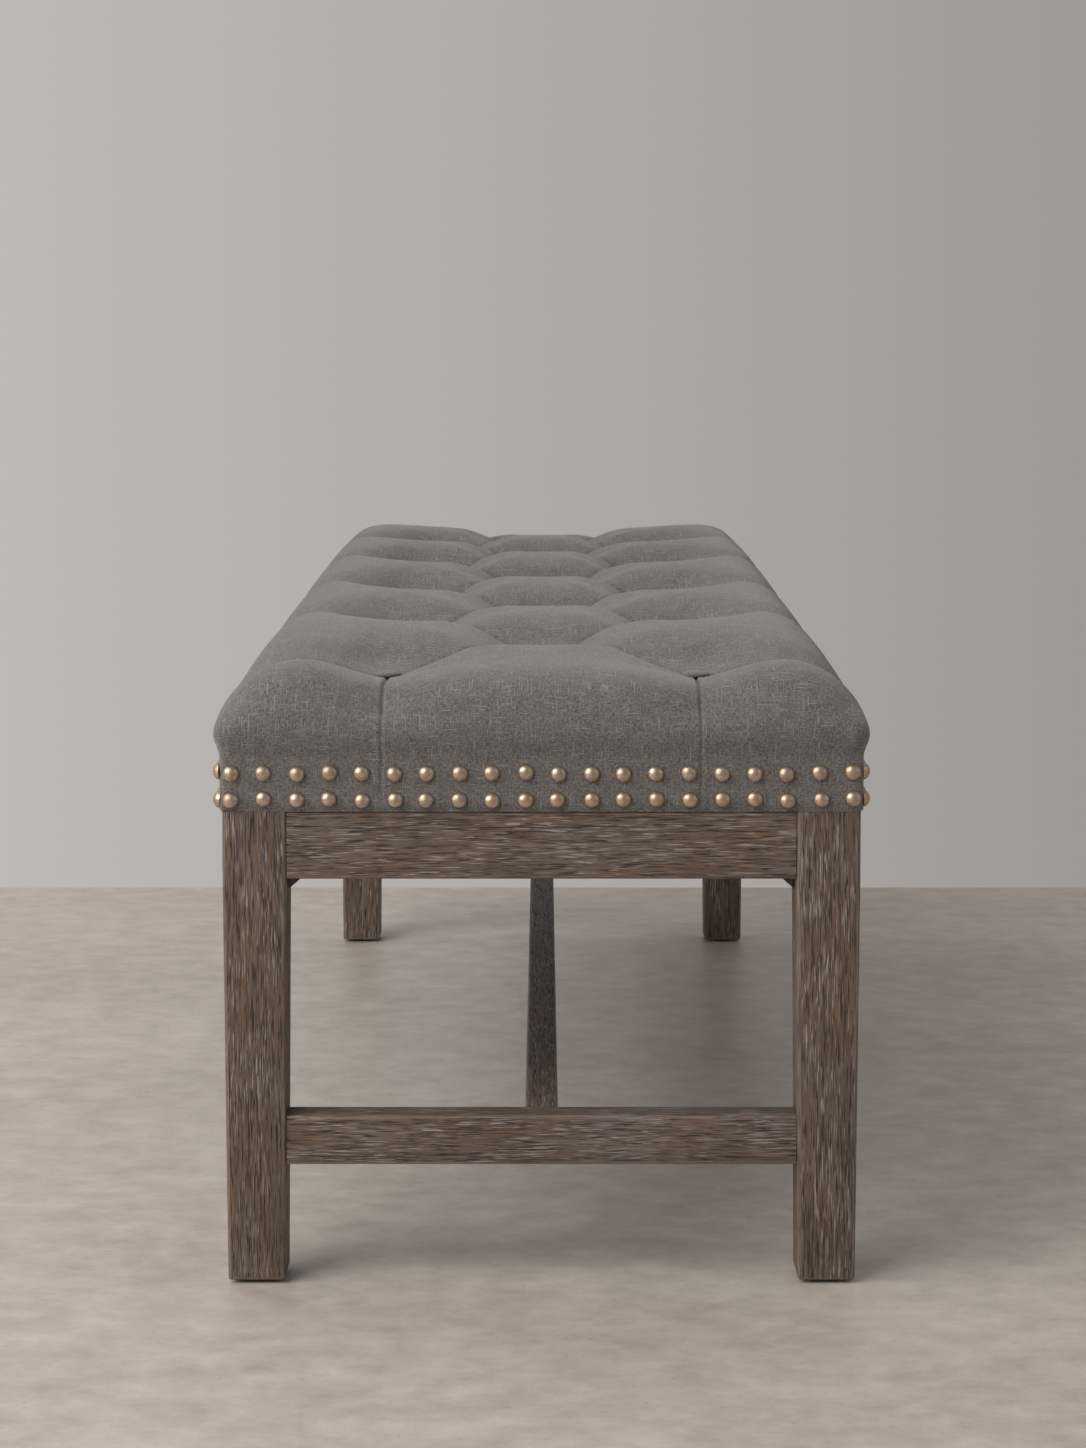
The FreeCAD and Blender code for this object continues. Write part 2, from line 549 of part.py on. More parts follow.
def cut_twine_holes(body, depth, width):
    """Slits for the twine, at the outer tufts and then at the middle ones."""
    rows = "sizes.tuft_rows"
    outer = rectangle(body, "outer_slit", "XY_Plane", width, width, right="-" + TUFT_COLUMN, up="-" + FIRST_TUFT)
    first = pocket(body, outer, depth, back=True)
    repeat(body, first, outer, [("H_Axis", "2 * " + TUFT_COLUMN, "2"), ("V_Axis", "2 * " + FIRST_TUFT, rows)])
    middle = rectangle(body, "middle_slit", "XY_Plane", width, width, up="-%s + %s / 2" % (FIRST_TUFT, TUFT_PITCH))
    second = pocket(body, middle, depth, back=True)
    repeat(body, second, middle, [("V_Axis", "2 * %s - %s" % (FIRST_TUFT, TUFT_PITCH), rows + " - 1")])


# Foam slab under the cover
def make_foam():
    body = new_body("foam_slab")
    width = "sizes.frame_width - 2 * sizes.foam_inset"
    length = "sizes.frame_length - 2 * sizes.foam_inset"
    slab = pad(body, rectangle(body, "slab", "XY_Plane", width, length), "sizes.foam_thickness")
    top_level = sizes.foam_thickness
    on_top = lambda a, b: a.z > top_level - 0.01 and b.z > top_level - 0.01
    soften(body, "Chamfer", slab, on_top, "sizes.foam_chamfer")
    cut_twine_holes(body, "sizes.foam_thickness", "sizes.twine_width + 2 * sizes.soft_gap")
    place(body, up=DECK_TOP)
    keep(body, "foam_slab")


def spread_over_tufts(body, draw):
    """Build a small solid at the first outer and first middle tuft and repeat both."""
    rows = "sizes.tuft_rows"
    feature, sketch = draw("-" + TUFT_COLUMN, "-" + FIRST_TUFT)
    repeat(body, feature, sketch, [("H_Axis", "2 * " + TUFT_COLUMN, "2"), ("V_Axis", "2 * " + FIRST_TUFT, rows)])
    feature, sketch = draw("0", "-%s + %s / 2" % (FIRST_TUFT, TUFT_PITCH))
    repeat(body, feature, sketch, [("V_Axis", "2 * %s - %s" % (FIRST_TUFT, TUFT_PITCH), rows + " - 1")])


# Covered buttons at the bottom of the tufts, their twine, and the toggles that hold it
def make_buttons():
    body = new_body("tuft_buttons")

    def draw(right, up):
        rim = polygon(body, "rim", "XY_Plane", 8, "sizes.button_diameter", right=right, up=up)
        return pad(body, rim, "sizes.button_height"), rim

    spread_over_tufts(body, draw)
    place(body, up="sizes.crown_height - sizes.tuft_depth + sizes.soft_gap")
    keep(body, "tuft_buttons")


def make_twine():
    body = new_body("tufting_twine")
    length = "sizes.crown_height - sizes.tuft_depth + sizes.soft_gap - (%s)" % DECK_BOTTOM

    def draw(right, up):
        cord = rectangle(body, "cord", "XY_Plane", "sizes.twine_width", "sizes.twine_width", right=right, up=up)
        return pad(body, cord, length), cord

    spread_over_tufts(body, draw)
    place(body, up=DECK_BOTTOM)
    keep(body, "tufting_twine")


def make_toggles():
    body = new_body("twine_toggles")

    def draw(right, up):
        stick = rectangle(body, "stick", "XY_Plane", "sizes.toggle_width", "sizes.toggle_length", right=right, up=up)
        return pad(body, stick, "sizes.toggle_thickness"), stick

    spread_over_tufts(body, draw)
    place(body, up=DECK_BOTTOM + " - sizes.toggle_thickness")
    keep(body, "twine_toggles")


# Dust cloth: stapled under the seat frame inside the turned-under hem
def make_dust_cloth(screw_x, screw_y):
    body = new_body("dust_cloth")
    inset = "2 * (sizes.hem_width + sizes.soft_gap)"
    pad(body, rectangle(body, "cloth", "XY_Plane", "sizes.frame_width - " + inset, "sizes.frame_length - " + inset),
        "sizes.dust_cloth_thickness")
    width = "sizes.screw_diameter + 2 * sizes.soft_gap"
    hole = rectangle(body, "screw_hole", "XY_Plane", width, width, right=screw_x, up=screw_y)
    cut = pocket(body, hole, "sizes.dust_cloth_thickness", back=True)
    repeat(body, cut, hole, [("H_Axis", "-2 * (%s)" % screw_x, "2"), ("V_Axis", "-2 * (%s)" % screw_y, "2")])
    place(body, up=RAIL_BOTTOM + " - sizes.dust_cloth_thickness")
    keep(body, "dust_cloth")


# Upholstery nails: six-sided heads in two rows, one node for each side of the seat
def make_nails(label, face, first, pitch_length, count, turn):
    body = new_body(label)
    head = polygon(body, "head", "XZ_Plane", 6, "sizes.nail_diameter", right=first)
    block = pad(body, head, "sizes.nail_rise")
    repeat(body, block, head, [("H_Axis", pitch_length, count), ("V_Axis", "sizes.nail_row_gap", "2")])
    place(body, turn=turn, **face)
    keep(body, label)
    return body


# The tufted cover: a crowned block rounded down to a valley along every pleat,
# pitted at every tuft, and hollowed for the foam and the seat frame
def outline(half, bottom, band_top, fall):
    """Closed section of the block, from its band over the shoulders to its top."""
    out = half + sizes.side_bulge
    shoulder = half - sizes.shoulder_run
    top = sizes.vault_height

    def side(s):
        return [V(s * half, 0, band_top), V(s * out, 0, band_top + sizes.bulge_rise),
                V(s * (out - sizes.side_lean), 0, band_top + sizes.side_rise),
                V(s * (half - sizes.brow_run), 0, sizes.shoulder_height - sizes.brow_drop),
                V(s * shoulder, 0, sizes.shoulder_height)]

    left = side(-1)
    right = side(1)
    edges = [Part.LineSegment(V(-half, 0, bottom), left[0]), Part.Arc(*left[0:3]), Part.Arc(*left[2:5])]
    if fall:
        flat = shoulder - fall
        crest = sizes.shoulder_height + sizes.crest_rise
        knee = flat + sizes.crest_run
        edges.append(Part.Arc(left[4], V(-knee, 0, crest), V(-flat, 0, top)))
        edges.append(Part.LineSegment(V(-flat, 0, top), V(flat, 0, top)))
        edges.append(Part.Arc(V(flat, 0, top), V(knee, 0, crest), right[4]))
    else:
        edges.append(Part.Arc(left[4], V(0, 0, top), right[4]))
    edges += [Part.Arc(right[4], right[3], right[2]), Part.Arc(right[2], right[1], right[0]),
              Part.LineSegment(right[0], V(half, 0, bottom)), Part.LineSegment(V(half, 0, bottom), V(-half, 0, bottom))]
    return Part.Face(Part.Wire([edge.toShape() for edge in edges]))


def valley_tool(start, finish, inward, fall):
    """Solid that rounds a pillow down to the pleat from start to finish."""
    valley = sizes.crown_height - sizes.pleat_depth
    reach = sizes.pleat_reach
    radius = (reach ** 2 + sizes.pleat_depth ** 2) / (2 * sizes.pleat_depth)
    half_turn = math.atan2(sizes.pleat_depth, reach)
    over = sizes.vault_height + PAST

    def at(across, up):
        return V(start.x + inward.x * across, start.y + inward.y * across, up)

    middle = at(reach - radius * math.sin(half_turn), sizes.crown_height - radius * (1 - math.cos(half_turn)))
    edges = [Part.Arc(at(0, valley), middle, at(reach, sizes.crown_height)).toShape(),
             Part.makeLine(at(reach, sizes.crown_height), at(reach, over)),
             Part.makeLine(at(reach, over), at(-PAST, over)),
             Part.makeLine(at(-PAST, over), at(-PAST, valley)),
             Part.makeLine(at(-PAST, valley), at(0, valley))]
    face = Part.Face(Part.Wire(edges))
    run = V(finish.x - start.x, finish.y - start.y, -fall)
    # it starts half a pleat before the pleat and ends half a pleat after it
    face.translate(run * -0.5)
    return face.extrude(run * 2)


def make_pillow(corners, pleats, blocks, bottom, tufts):
    """One pillow over its plan corners; pleats give each edge's fall, or None for none."""
    base = [V(x, y, bottom - PAST) for x, y in corners]
    pillow = Part.Face(Part.makePolygon(base + [base[0]])).extrude(V(0, 0, sizes.vault_height))
    for block in blocks:
        pillow = pillow.common(block)
    centre = sum(base, V(0, 0, 0)) * (1 / len(base))
    for index, fall in enumerate(pleats):
        if fall is None:
            continue
        start = base[index]
        finish = base[(index + 1) % len(base)]
        if fall < 0:
            start, finish = finish, start
        inward = (finish - start).cross(Z_AXIS).normalize()
        if inward.dot(centre - start) < 0:
            inward = inward * -1
        pillow = pillow.cut(valley_tool(start, finish, inward, abs(fall)))
    seat_level = sizes.crown_height - sizes.tuft_depth
    seat_radius = sizes.button_diameter / 2 + sizes.button_gap
    for x, y in corners:
        if (x, y) in tufts:
            pillow = pillow.cut(Part.makeCone(seat_radius, sizes.tuft_mouth / 2,
                                              sizes.vault_height - seat_level, V(x, y, seat_level)))
    return pillow


def tufted_form(half_width, half_length, bottom, band_top):
    """The whole cushion as one solid, its underside still closed."""
    across = outline(half_width, bottom, band_top, 0)
    across.translate(V(0, -2 * half_length, 0))
    along = outline(half_length, bottom, band_top, sizes.end_fall)
    along.rotate(V(0, 0, 0), Z_AXIS, 90)
    along.translate(V(-2 * half_width, 0, 0))
    blocks = [across.extrude(V(0, 4 * half_length, 0)), along.extrude(V(4 * half_width, 0, 0))]
    column = sizes.frame_width / 2 - sizes.tuft_side_inset
    first = sizes.frame_length / 2 - sizes.tuft_end_inset
    rows = int(sizes.tuft_rows)
    pitch = 2 * first / (rows - 1)
    outer = [-first + pitch * k for k in range(rows)]
    middle = [y + pitch / 2 for y in outer[:-1]]
    tufts = {(side * column, y) for side in (-1, 1) for y in outer} | {(0, y) for y in middle}
    far_x = half_width + 2 * sizes.side_bulge
    far_y = half_length + 2 * sizes.side_bulge
    fall_side = sizes.pleat_fall * (far_x - column) / (half_width - column)
    fall_end = sizes.pleat_fall * (far_y - first) / (half_length - first)
    pillows = []

    def add(corners, pleats):
        pillows.append(make_pillow(corners, pleats, blocks, bottom, tufts))

    for k in range(1, rows - 1):
        add([(0, middle[k - 1]), (column, outer[k]), (0, middle[k]), (-column, outer[k])], [0, 0, 0, 0])
    for side in (-1, 1):
        edge = side * column
        for k in range(rows - 1):
            add([(0, middle[k]), (edge, outer[k]), (side * far_x, outer[k]),
                 (side * far_x, outer[k + 1]), (edge, outer[k + 1])], [0, fall_side, None, -fall_side, 0])
    for end in (-1, 1):
        row = end * outer[-1]
        add([(0, end * middle[-1]), (-column, row), (-column, end * far_y), (column, end * far_y), (column, row)],
            [0, fall_end, None, -fall_end, 0])
        for side in (-1, 1):
            edge = side * column
            add([(edge, row), (edge, end * far_y), (side * far_x, end * far_y), (side * far_x, row)],
                [fall_end, None, None, -fall_side])
    return pillows[0].multiFuse(pillows[1:]).removeSplitter(), tufts


def box_between(half_width, half_length, low, high):
    return Part.makeBox(2 * half_width, 2 * half_length, high - low, V(-half_width, -half_length, low))


def make_cover():
    gap = sizes.soft_gap
    reach = gap + sizes.fabric_thickness
    half_width = sizes.frame_width / 2
    half_length = sizes.frame_length / 2
    bottom = sizes.base_height
    rail_bottom = bottom + sizes.fabric_thickness
    deck_top = rail_bottom + sizes.rail_height + sizes.slat_thickness
    form, tufts = tufted_form(half_width + reach, half_length + reach, bottom, deck_top)
    hollows = [box_between(half_width + gap, half_length + gap, rail_bottom, deck_top),
               box_between(half_width - sizes.hem_width, half_length - sizes.hem_width,
                           bottom - PAST, rail_bottom + PAST),
               box_between(half_width - sizes.foam_inset + gap, half_length - sizes.foam_inset + gap,
                           deck_top - PAST, deck_top + sizes.foam_thickness + gap)]
    slit = sizes.twine_width / 2 + gap
    for x, y in sorted(tufts):
        hollows.append(Part.makeBox(2 * slit, 2 * slit, sizes.tuft_depth + sizes.foam_thickness,
                                    V(x - slit, y - slit, deck_top)))
    for hollow in hollows:
        form = form.cut(hollow)
    cover = doc.addObject("Part::Feature", "tufted_cover")
    cover.Shape = form.Solids[0] if len(form.Solids) == 1 else form
    cover.Placement = FreeCAD.Placement()
    keep(cover, "tufted_cover")


def make_all_nails():
    low = "sizes.base_height + sizes.nail_lower_row"
    across = "2 * (%s + %s - sizes.nail_corner)" % (HALF_WIDTH, COVER_REACH)
    along = "2 * (%s + %s - sizes.nail_corner)" % (HALF_LENGTH, COVER_REACH)
    end_face = "-(%s) - %s" % (HALF_LENGTH, COVER_REACH)
    side_face = "%s + %s" % (HALF_WIDTH, COVER_REACH)
    near = make_nails("nails_near_end", {"along": end_face, "up": low}, "-(%s) / 2" % across, across,
                      "sizes.nails_across", 0)
    mirror_image(near, "nails_far_end", Y_AXIS)
    right = make_nails("nails_right_side", {"across": side_face, "up": low}, "-(%s) / 2" % along, along,
                       "sizes.nails_along", 90)
    mirror_image(right, "nails_left_side", X_AXIS)


make_leg()
make_glides()
make_aprons()
make_stretchers()
make_glue_blocks()
seat_screw_x, seat_screw_y = make_brace()
make_screws(seat_screw_x, seat_screw_y)
make_seat_frame(seat_screw_x, seat_screw_y)
make_keys(seat_screw_x)
make_deck()
make_foam()
make_cover()
make_buttons()
make_twine()
make_toggles()
make_dust_cloth(seat_screw_x, seat_screw_y)
make_all_nails()
doc.recompute()

for item in doc.Objects:
    if "Invalid" in item.State or "Error" in item.State:
        raise ValueError("%s did not build: %s" % (item.Label, item.State))
for piece in pieces:
    if piece.Shape.isNull() or not piece.Shape.isValid():
        raise ValueError(piece.Label + " has no valid shape")

os.makedirs("parts", exist_ok=True)
for piece in pieces:
    piece.Shape.exportStep("parts/" + piece.Label + ".step")
print(len(pieces), "pieces written")
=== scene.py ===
import math
import random

import bmesh
import bpy
import numpy as np
from mathutils import Matrix, Vector, noise


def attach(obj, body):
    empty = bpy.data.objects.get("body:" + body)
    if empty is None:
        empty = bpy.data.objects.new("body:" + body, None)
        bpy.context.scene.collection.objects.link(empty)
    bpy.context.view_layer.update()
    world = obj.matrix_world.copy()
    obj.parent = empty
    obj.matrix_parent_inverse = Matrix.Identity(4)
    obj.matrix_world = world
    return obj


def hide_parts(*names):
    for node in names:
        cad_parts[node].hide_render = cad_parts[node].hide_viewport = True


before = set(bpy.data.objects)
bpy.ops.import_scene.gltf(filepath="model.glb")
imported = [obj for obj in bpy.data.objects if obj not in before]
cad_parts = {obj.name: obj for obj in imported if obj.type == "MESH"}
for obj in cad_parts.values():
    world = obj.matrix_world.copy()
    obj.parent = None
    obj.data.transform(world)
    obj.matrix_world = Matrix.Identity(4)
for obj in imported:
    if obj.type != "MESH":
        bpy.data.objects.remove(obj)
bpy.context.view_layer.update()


# Camera
# The photograph looks along the bench from just above seat height, square to its near end.
camera_data = bpy.data.cameras.new("camera")
camera_data.lens = 75.22
camera_data.shift_y = -0.136
camera = bpy.data.objects.new("camera", camera_data)
bpy.context.collection.objects.link(camera)
camera.location = (0.0011, -2.821, 0.677)
camera.rotation_euler = (math.radians(90 - 3.33), 0, 0)
bpy.context.scene.camera = camera


# Legs
# Four square oak legs, tapered from under the aprons to the foot. The wood is wire-brushed, so that
# its open pores stand as fine grooves, then stained dark and limed, which leaves pale dust in them.
LEG = 0.046
LEG_TAPER = 0.00225
LEG_FOOT = 0.0025
LEG_ROUND = 0.0026
APRON_FOOT = 0.297
BASE_TOP = 0.346
HALF_WIDTH = 0.230
HALF_LENGTH = 0.660


def piece_from(bm, name, material):
    """A finished object at the origin, its place in its mesh."""
    mesh = bpy.data.meshes.new(name)
    bm.to_mesh(mesh)
    bm.free()
    mesh.materials.append(material)
    piece = bpy.data.objects.new(name, mesh)
    bpy.context.collection.objects.link(piece)
    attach(piece, "root")
    return piece


def ease_edges(bm, edges, offset):
    """Round edges, and mark the faces made there, where the wood gets a painted highlight."""
    edge_highlight = bm.faces.layers.float.new("worn_edge")
    made = bmesh.ops.bevel(bm, geom=edges, offset=offset, offset_type="OFFSET", segments=3, profile=0.5,
                           affect="EDGES", material=-1, clamp_overlap=True)
    # Painted highlight: the new rounded faces are marked so that the wood is painted paler there.
    for face in made["faces"]:
        face[edge_highlight] = 0.8


def smooth(piece, angle=40):
    for polygon in piece.data.polygons:
        polygon.use_smooth = True
    piece.data.set_sharp_from_angle(angle=math.radians(angle))


def socket(group, name, kind, out=False, value=None):
    made = group.interface.new_socket(name, in_out="OUTPUT" if out else "INPUT", socket_type=kind)
    if value is not None:
        made.default_value = value
    return made


def wood_grain_group():
    """Brushed oak: grain runs along the coordinate's Z and wanders a little."""
    group = bpy.data.node_groups.new("brushed_oak_grain", "ShaderNodeTree")
    socket(group, "Vector", "NodeSocketVector")
    socket(group, "Seed", "NodeSocketFloat", value=0.0)
    for name in ("Bands", "Pores", "Lime", "Patches", "Haze"):
        socket(group, name, "NodeSocketFloat", out=True)
    nodes = group.nodes
    links = group.links
    entry = nodes.new("NodeGroupInput")
    leave = nodes.new("NodeGroupOutput")
    wander = nodes.new("ShaderNodeMapping")
    wander.inputs["Scale"].default_value = (9, 9, 5)
    links.new(entry.outputs["Vector"], wander.inputs["Vector"])
    bend = nodes.new("ShaderNodeTexNoise")
    bend.noise_dimensions = "4D"
    bend.inputs["Detail"].default_value = 2
    bend.inputs["Scale"].default_value = 1
    links.new(wander.outputs["Vector"], bend.inputs["Vector"])
    links.new(entry.outputs["Seed"], bend.inputs["W"])
    centred = nodes.new("ShaderNodeVectorMath")
    centred.operation = "SUBTRACT"
    centred.inputs[1].default_value = (0.5, 0.5, 0.5)
    links.new(bend.outputs["Color"], centred.inputs[0])
    spread = nodes.new("ShaderNodeVectorMath")
    spread.operation = "MULTIPLY"
    spread.inputs[1].default_value = (0.008, 0.008, 0)
    links.new(centred.outputs["Vector"], spread.inputs[0])
    bent = nodes.new("ShaderNodeVectorMath")
    bent.operation = "ADD"
    links.new(entry.outputs["Vector"], bent.inputs[0])
    links.new(spread.outputs["Vector"], bent.inputs[1])

    def texture(scale, stretch, detail, roughness, shift):
        move = nodes.new("ShaderNodeMapping")
        move.inputs["Scale"].default_value = (scale, scale, scale / stretch)
        move.inputs["Location"].default_value = (shift, shift * 0.7, shift * 1.3)
        links.new(bent.outputs["Vector"], move.inputs["Vector"])
        tex = nodes.new("ShaderNodeTexNoise")
        tex.noise_dimensions = "4D"
        tex.inputs["Scale"].default_value = 1.0
        tex.inputs["Detail"].default_value = detail
        tex.inputs["Roughness"].default_value = roughness
        links.new(move.outputs["Vector"], tex.inputs["Vector"])
        links.new(entry.outputs["Seed"], tex.inputs["W"])
        return tex.outputs["Fac"]

    def ramp(value, low, high):
        node = nodes.new("ShaderNodeMapRange")
        node.interpolation_type = "SMOOTHSTEP"
        node.inputs["From Min"].default_value = low
        node.inputs["From Max"].default_value = high
        links.new(value, node.inputs["Value"])
        return node.outputs["Result"]

    def product(a, b):
        node = nodes.new("ShaderNodeMath")
        node.operation = "MULTIPLY"
        links.new(a, node.inputs[0])
        links.new(b, node.inputs[1])
        return node.outputs["Value"]

    flecks = ramp(texture(1350, 22, 1, 0.5, 7.7), 0.560, 0.640)
    places = ramp(texture(60, 3, 3, 0.6, 1.9), 0.33, 0.57)
    links.new(ramp(texture(460, 34, 5, 0.75, 0), 0.30, 0.70), leave.inputs["Bands"])
    links.new(ramp(texture(1200, 26, 2, 0.6, 3.1), 0.51, 0.63), leave.inputs["Pores"])
    links.new(product(flecks, places), leave.inputs["Lime"])
    links.new(ramp(texture(120, 12, 5, 0.7, 5.3), 0.44, 0.70), leave.inputs["Patches"])
    links.new(ramp(texture(26, 2.5, 4, 0.7, 9.1), 0.46, 0.72), leave.inputs["Haze"])
    return group


oak_grain = wood_grain_group()


def oak(name, turn, seed):
    """Dark limed oak whose grain runs along one axis; turn brings that axis to Z."""
    material = bpy.data.materials.new(name)
    material.use_nodes = True
    nodes = material.node_tree.nodes
    links = material.node_tree.links
    shader = nodes["Principled BSDF"]
    place = nodes.new("ShaderNodeTexCoord")
    turned = nodes.new("ShaderNodeMapping")
    turned.inputs["Rotation"].default_value = turn
    links.new(place.outputs["Object"], turned.inputs["Vector"])
    grain = nodes.new("ShaderNodeGroup")
    grain.node_tree = oak_grain
    grain.inputs["Seed"].default_value = seed
    links.new(turned.outputs["Vector"], grain.inputs["Vector"])

    def blend(factor, a, b):
        node = nodes.new("ShaderNodeMix")
        node.data_type = "RGBA"
        links.new(factor, node.inputs["Factor"])
        for value, index in ((a, 6), (b, 7)):
            if isinstance(value, tuple):
                node.inputs[index].default_value = (*value, 1)
            else:
                links.new(value, node.inputs[index])
        return node.outputs[2]

    body = blend(grain.outputs["Bands"], (0.096, 0.067, 0.051), (0.166, 0.121, 0.093))
    warm = blend(grain.outputs["Bands"], (0.128, 0.075, 0.045), (0.208, 0.129, 0.082))
    tinted = blend(grain.outputs["Patches"], body, warm)
    hazed = nodes.new("ShaderNodeMix")
    hazed.data_type = "RGBA"
    hazed.inputs[7].default_value = (0.190, 0.170, 0.155, 1)
    haze = nodes.new("ShaderNodeMath")
    haze.operation = "MULTIPLY"
    haze.inputs[1].default_value = 0.45
    links.new(grain.outputs["Haze"], haze.inputs[0])
    links.new(haze.outputs["Value"], hazed.inputs["Factor"])
    links.new(tinted, hazed.inputs[6])
    pored = blend(grain.outputs["Pores"], hazed.outputs[2], (0.034, 0.025, 0.020))
    limed = blend(grain.outputs["Lime"], pored, (0.325, 0.300, 0.280))
    # Painted highlight: the rounded edges are painted paler, broken up by the grain bands, for the light they
    # catch.
    edge = nodes.new("ShaderNodeAttribute")
    edge.attribute_name = "worn_edge"
    edge_highlight_share = nodes.new("ShaderNodeMath")
    edge_highlight_share.operation = "MULTIPLY"
    links.new(edge.outputs["Fac"], edge_highlight_share.inputs[0])
    links.new(grain.outputs["Bands"], edge_highlight_share.inputs[1])
    edge_highlight = blend(edge_highlight_share.outputs["Value"], limed, (0.260, 0.205, 0.165))
    links.new(edge_highlight, shader.inputs["Base Color"])
    rough = nodes.new("ShaderNodeMapRange")
    rough.inputs["To Min"].default_value = 0.52
    rough.inputs["To Max"].default_value = 0.78
    links.new(grain.outputs["Pores"], rough.inputs["Value"])
    links.new(rough.outputs["Result"], shader.inputs["Roughness"])
    height = nodes.new("ShaderNodeMath")
    height.operation = "MULTIPLY_ADD"
    height.inputs[1].default_value = -1.2
    links.new(grain.outputs["Pores"], height.inputs[0])
    links.new(grain.outputs["Bands"], height.inputs[2])
    bump = nodes.new("ShaderNodeBump")
    bump.inputs["Strength"].default_value = 0.6
    bump.inputs["Distance"].default_value = 0.0007
    links.new(height.outputs["Value"], bump.inputs["Height"])
    links.new(bump.outputs["Normal"], shader.inputs["Normal"])
    return material


def leg(side, end, name):
    bm = bmesh.new()
    bmesh.ops.create_cube(bm, size=1)
    bmesh.ops.scale(bm, vec=(LEG, LEG, BASE_TOP - LEG_FOOT), verts=bm.verts)
    centre = Vector((side * (HALF_WIDTH - LEG / 2), end * (HALF_LENGTH - LEG / 2), (BASE_TOP + LEG_FOOT) / 2))
    bmesh.ops.translate(bm, vec=centre, verts=bm.verts)
    bmesh.ops.bisect_plane(bm, geom=bm.verts[:] + bm.edges[:] + bm.faces[:], plane_co=(0, 0, APRON_FOOT),
                           plane_no=(0, 0, 1))
    foot = [v for v in bm.verts if v.co.z < 0.01]
    shrink = 1 - 2 * LEG_TAPER / LEG
    bmesh.ops.scale(bm, vec=(shrink, shrink, 1), verts=foot, space=Matrix.Translation(-centre))
    upright = [e for e in bm.edges if abs(e.verts[0].co.z - e.verts[1].co.z) > 0.01]
    rim = [e for e in bm.edges if all(v.co.z < 0.01 for v in e.verts)]
    ease_edges(bm, upright + rim, LEG_ROUND)
    piece = piece_from(bm, "oak_" + name, oak("oak_" + name, (0, 0, 0), 3.7 * side + 11.3 * end))
    smooth(piece)
    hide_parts(name)


for end, along in ((-1, "near"), (1, "far")):
    for side, across in ((-1, "left"), (1, "right")):
        leg(side, end, "leg_%s_%s" % (along, across))


# Aprons and stretchers
# Solid oak boards with softly rounded edges, tenoned into the legs; the long stretcher runs between
# the two end stretchers, flush with their tops. Each joint shows as a hair-fine dark line.
ALONG_X = (0, math.radians(90), 0)
ALONG_Y = (math.radians(90), 0, 0)
BOARD_ROUND = 0.0022
JOINT_LINE = 0.0003
STRETCHER_TOP = 0.1235


def board(node, low, high, grain, seed):
    """A board between two corners, its long edges rounded, a hair short at its ends."""
    low = Vector(low)
    high = Vector(high)
    axis = 0 if grain == ALONG_X else 1
    low[axis] += JOINT_LINE
    high[axis] -= JOINT_LINE
    bm = bmesh.new()
    bmesh.ops.create_cube(bm, size=1)
    bmesh.ops.scale(bm, vec=high - low, verts=bm.verts)
    bmesh.ops.translate(bm, vec=(low + high) / 2, verts=bm.verts)
    long_edges = [e for e in bm.edges if abs(e.verts[0].co[axis] - e.verts[1].co[axis]) > 0.1]
    ease_edges(bm, long_edges, BOARD_ROUND)
    piece = piece_from(bm, "oak_" + node, oak("oak_" + node, grain, seed))
    smooth(piece)
    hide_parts(node)


for end, along in ((-1, "near"), (1, "far")):
    for node, inner, outer, bottom, top, reach in (
            ("end_apron_", 0.637, 0.659, APRON_FOOT, BASE_TOP, 0.184),
            ("end_stretcher_", 0.628, 0.656, 0.0875, STRETCHER_TOP, 0.1853)):
        ys = sorted((end * inner, end * outer))
        board(node + along, (-reach, ys[0], bottom), (reach, ys[1], top), ALONG_X, 17.1 * end + bottom * 90)
for side, across in ((-1, "left"), (1, "right")):
    xs = sorted((side * 0.207, side * 0.229))
    board("side_apron_" + across, (xs[0], -0.614, APRON_FOOT), (xs[1], 0.614, BASE_TOP), ALONG_Y, 5.9 * side)
board("long_stretcher", (-0.012, -0.628, 0.0935), (0.012, 0.628, STRETCHER_TOP), ALONG_Y, 2.2)


# Glue blocks, corner braces and seat frame
# Plain softwood parts out of sight: blocks rubbed into the corners and stained with the base, and
# the sawn braces, rails and deck boards that carry the seat.
def dress(node, material):
    """Give a CAD piece that keeps its shape a new finish."""
    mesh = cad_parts[node].data
    mesh.materials.clear()
    mesh.materials.append(material)


stained_block = oak("oak_glue_block", (0, 0, 0), 40.0)


def softwood(name, turn):
    material = bpy.data.materials.new(name)
    material.use_nodes = True
    nodes = material.node_tree.nodes
    links = material.node_tree.links
    shader = nodes["Principled BSDF"]
    place = nodes.new("ShaderNodeTexCoord")
    turned = nodes.new("ShaderNodeMapping")
    turned.inputs["Rotation"].default_value = turn
    links.new(place.outputs["Object"], turned.inputs["Vector"])
    grain = nodes.new("ShaderNodeGroup")
    grain.node_tree = oak_grain
    grain.inputs["Seed"].default_value = 60.0
    links.new(turned.outputs["Vector"], grain.inputs["Vector"])
    mix = nodes.new("ShaderNodeMix")
    mix.data_type = "RGBA"
    mix.inputs[6].default_value = (0.50, 0.35, 0.19, 1)
    mix.inputs[7].default_value = (0.66, 0.50, 0.31, 1)
    links.new(grain.outputs["Bands"], mix.inputs["Factor"])
    links.new(mix.outputs[2], shader.inputs["Base Color"])
    shader.inputs["Roughness"].default_value = 0.7
    bump = nodes.new("ShaderNodeBump")
    bump.inputs["Strength"].default_value = 0.3
    bump.inputs["Distance"].default_value = 0.0005
    links.new(grain.outputs["Bands"], bump.inputs["Height"])
    links.new(bump.outputs["Normal"], shader.inputs["Normal"])
    return material


pine_across = softwood("pine_across", ALONG_X)
pine_along = softwood("pine_along", ALONG_Y)
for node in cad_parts:
    if "glue_block" in node:
        dress(node, stained_block)
    elif node.startswith(("deck_slat", "seat_rail_near", "seat_rail_far", "corner_brace", "seat_frame_keys")):
        dress(node, pine_across)
    elif node.startswith(("seat_rail", "twine_toggles")):
        dress(node, pine_along)


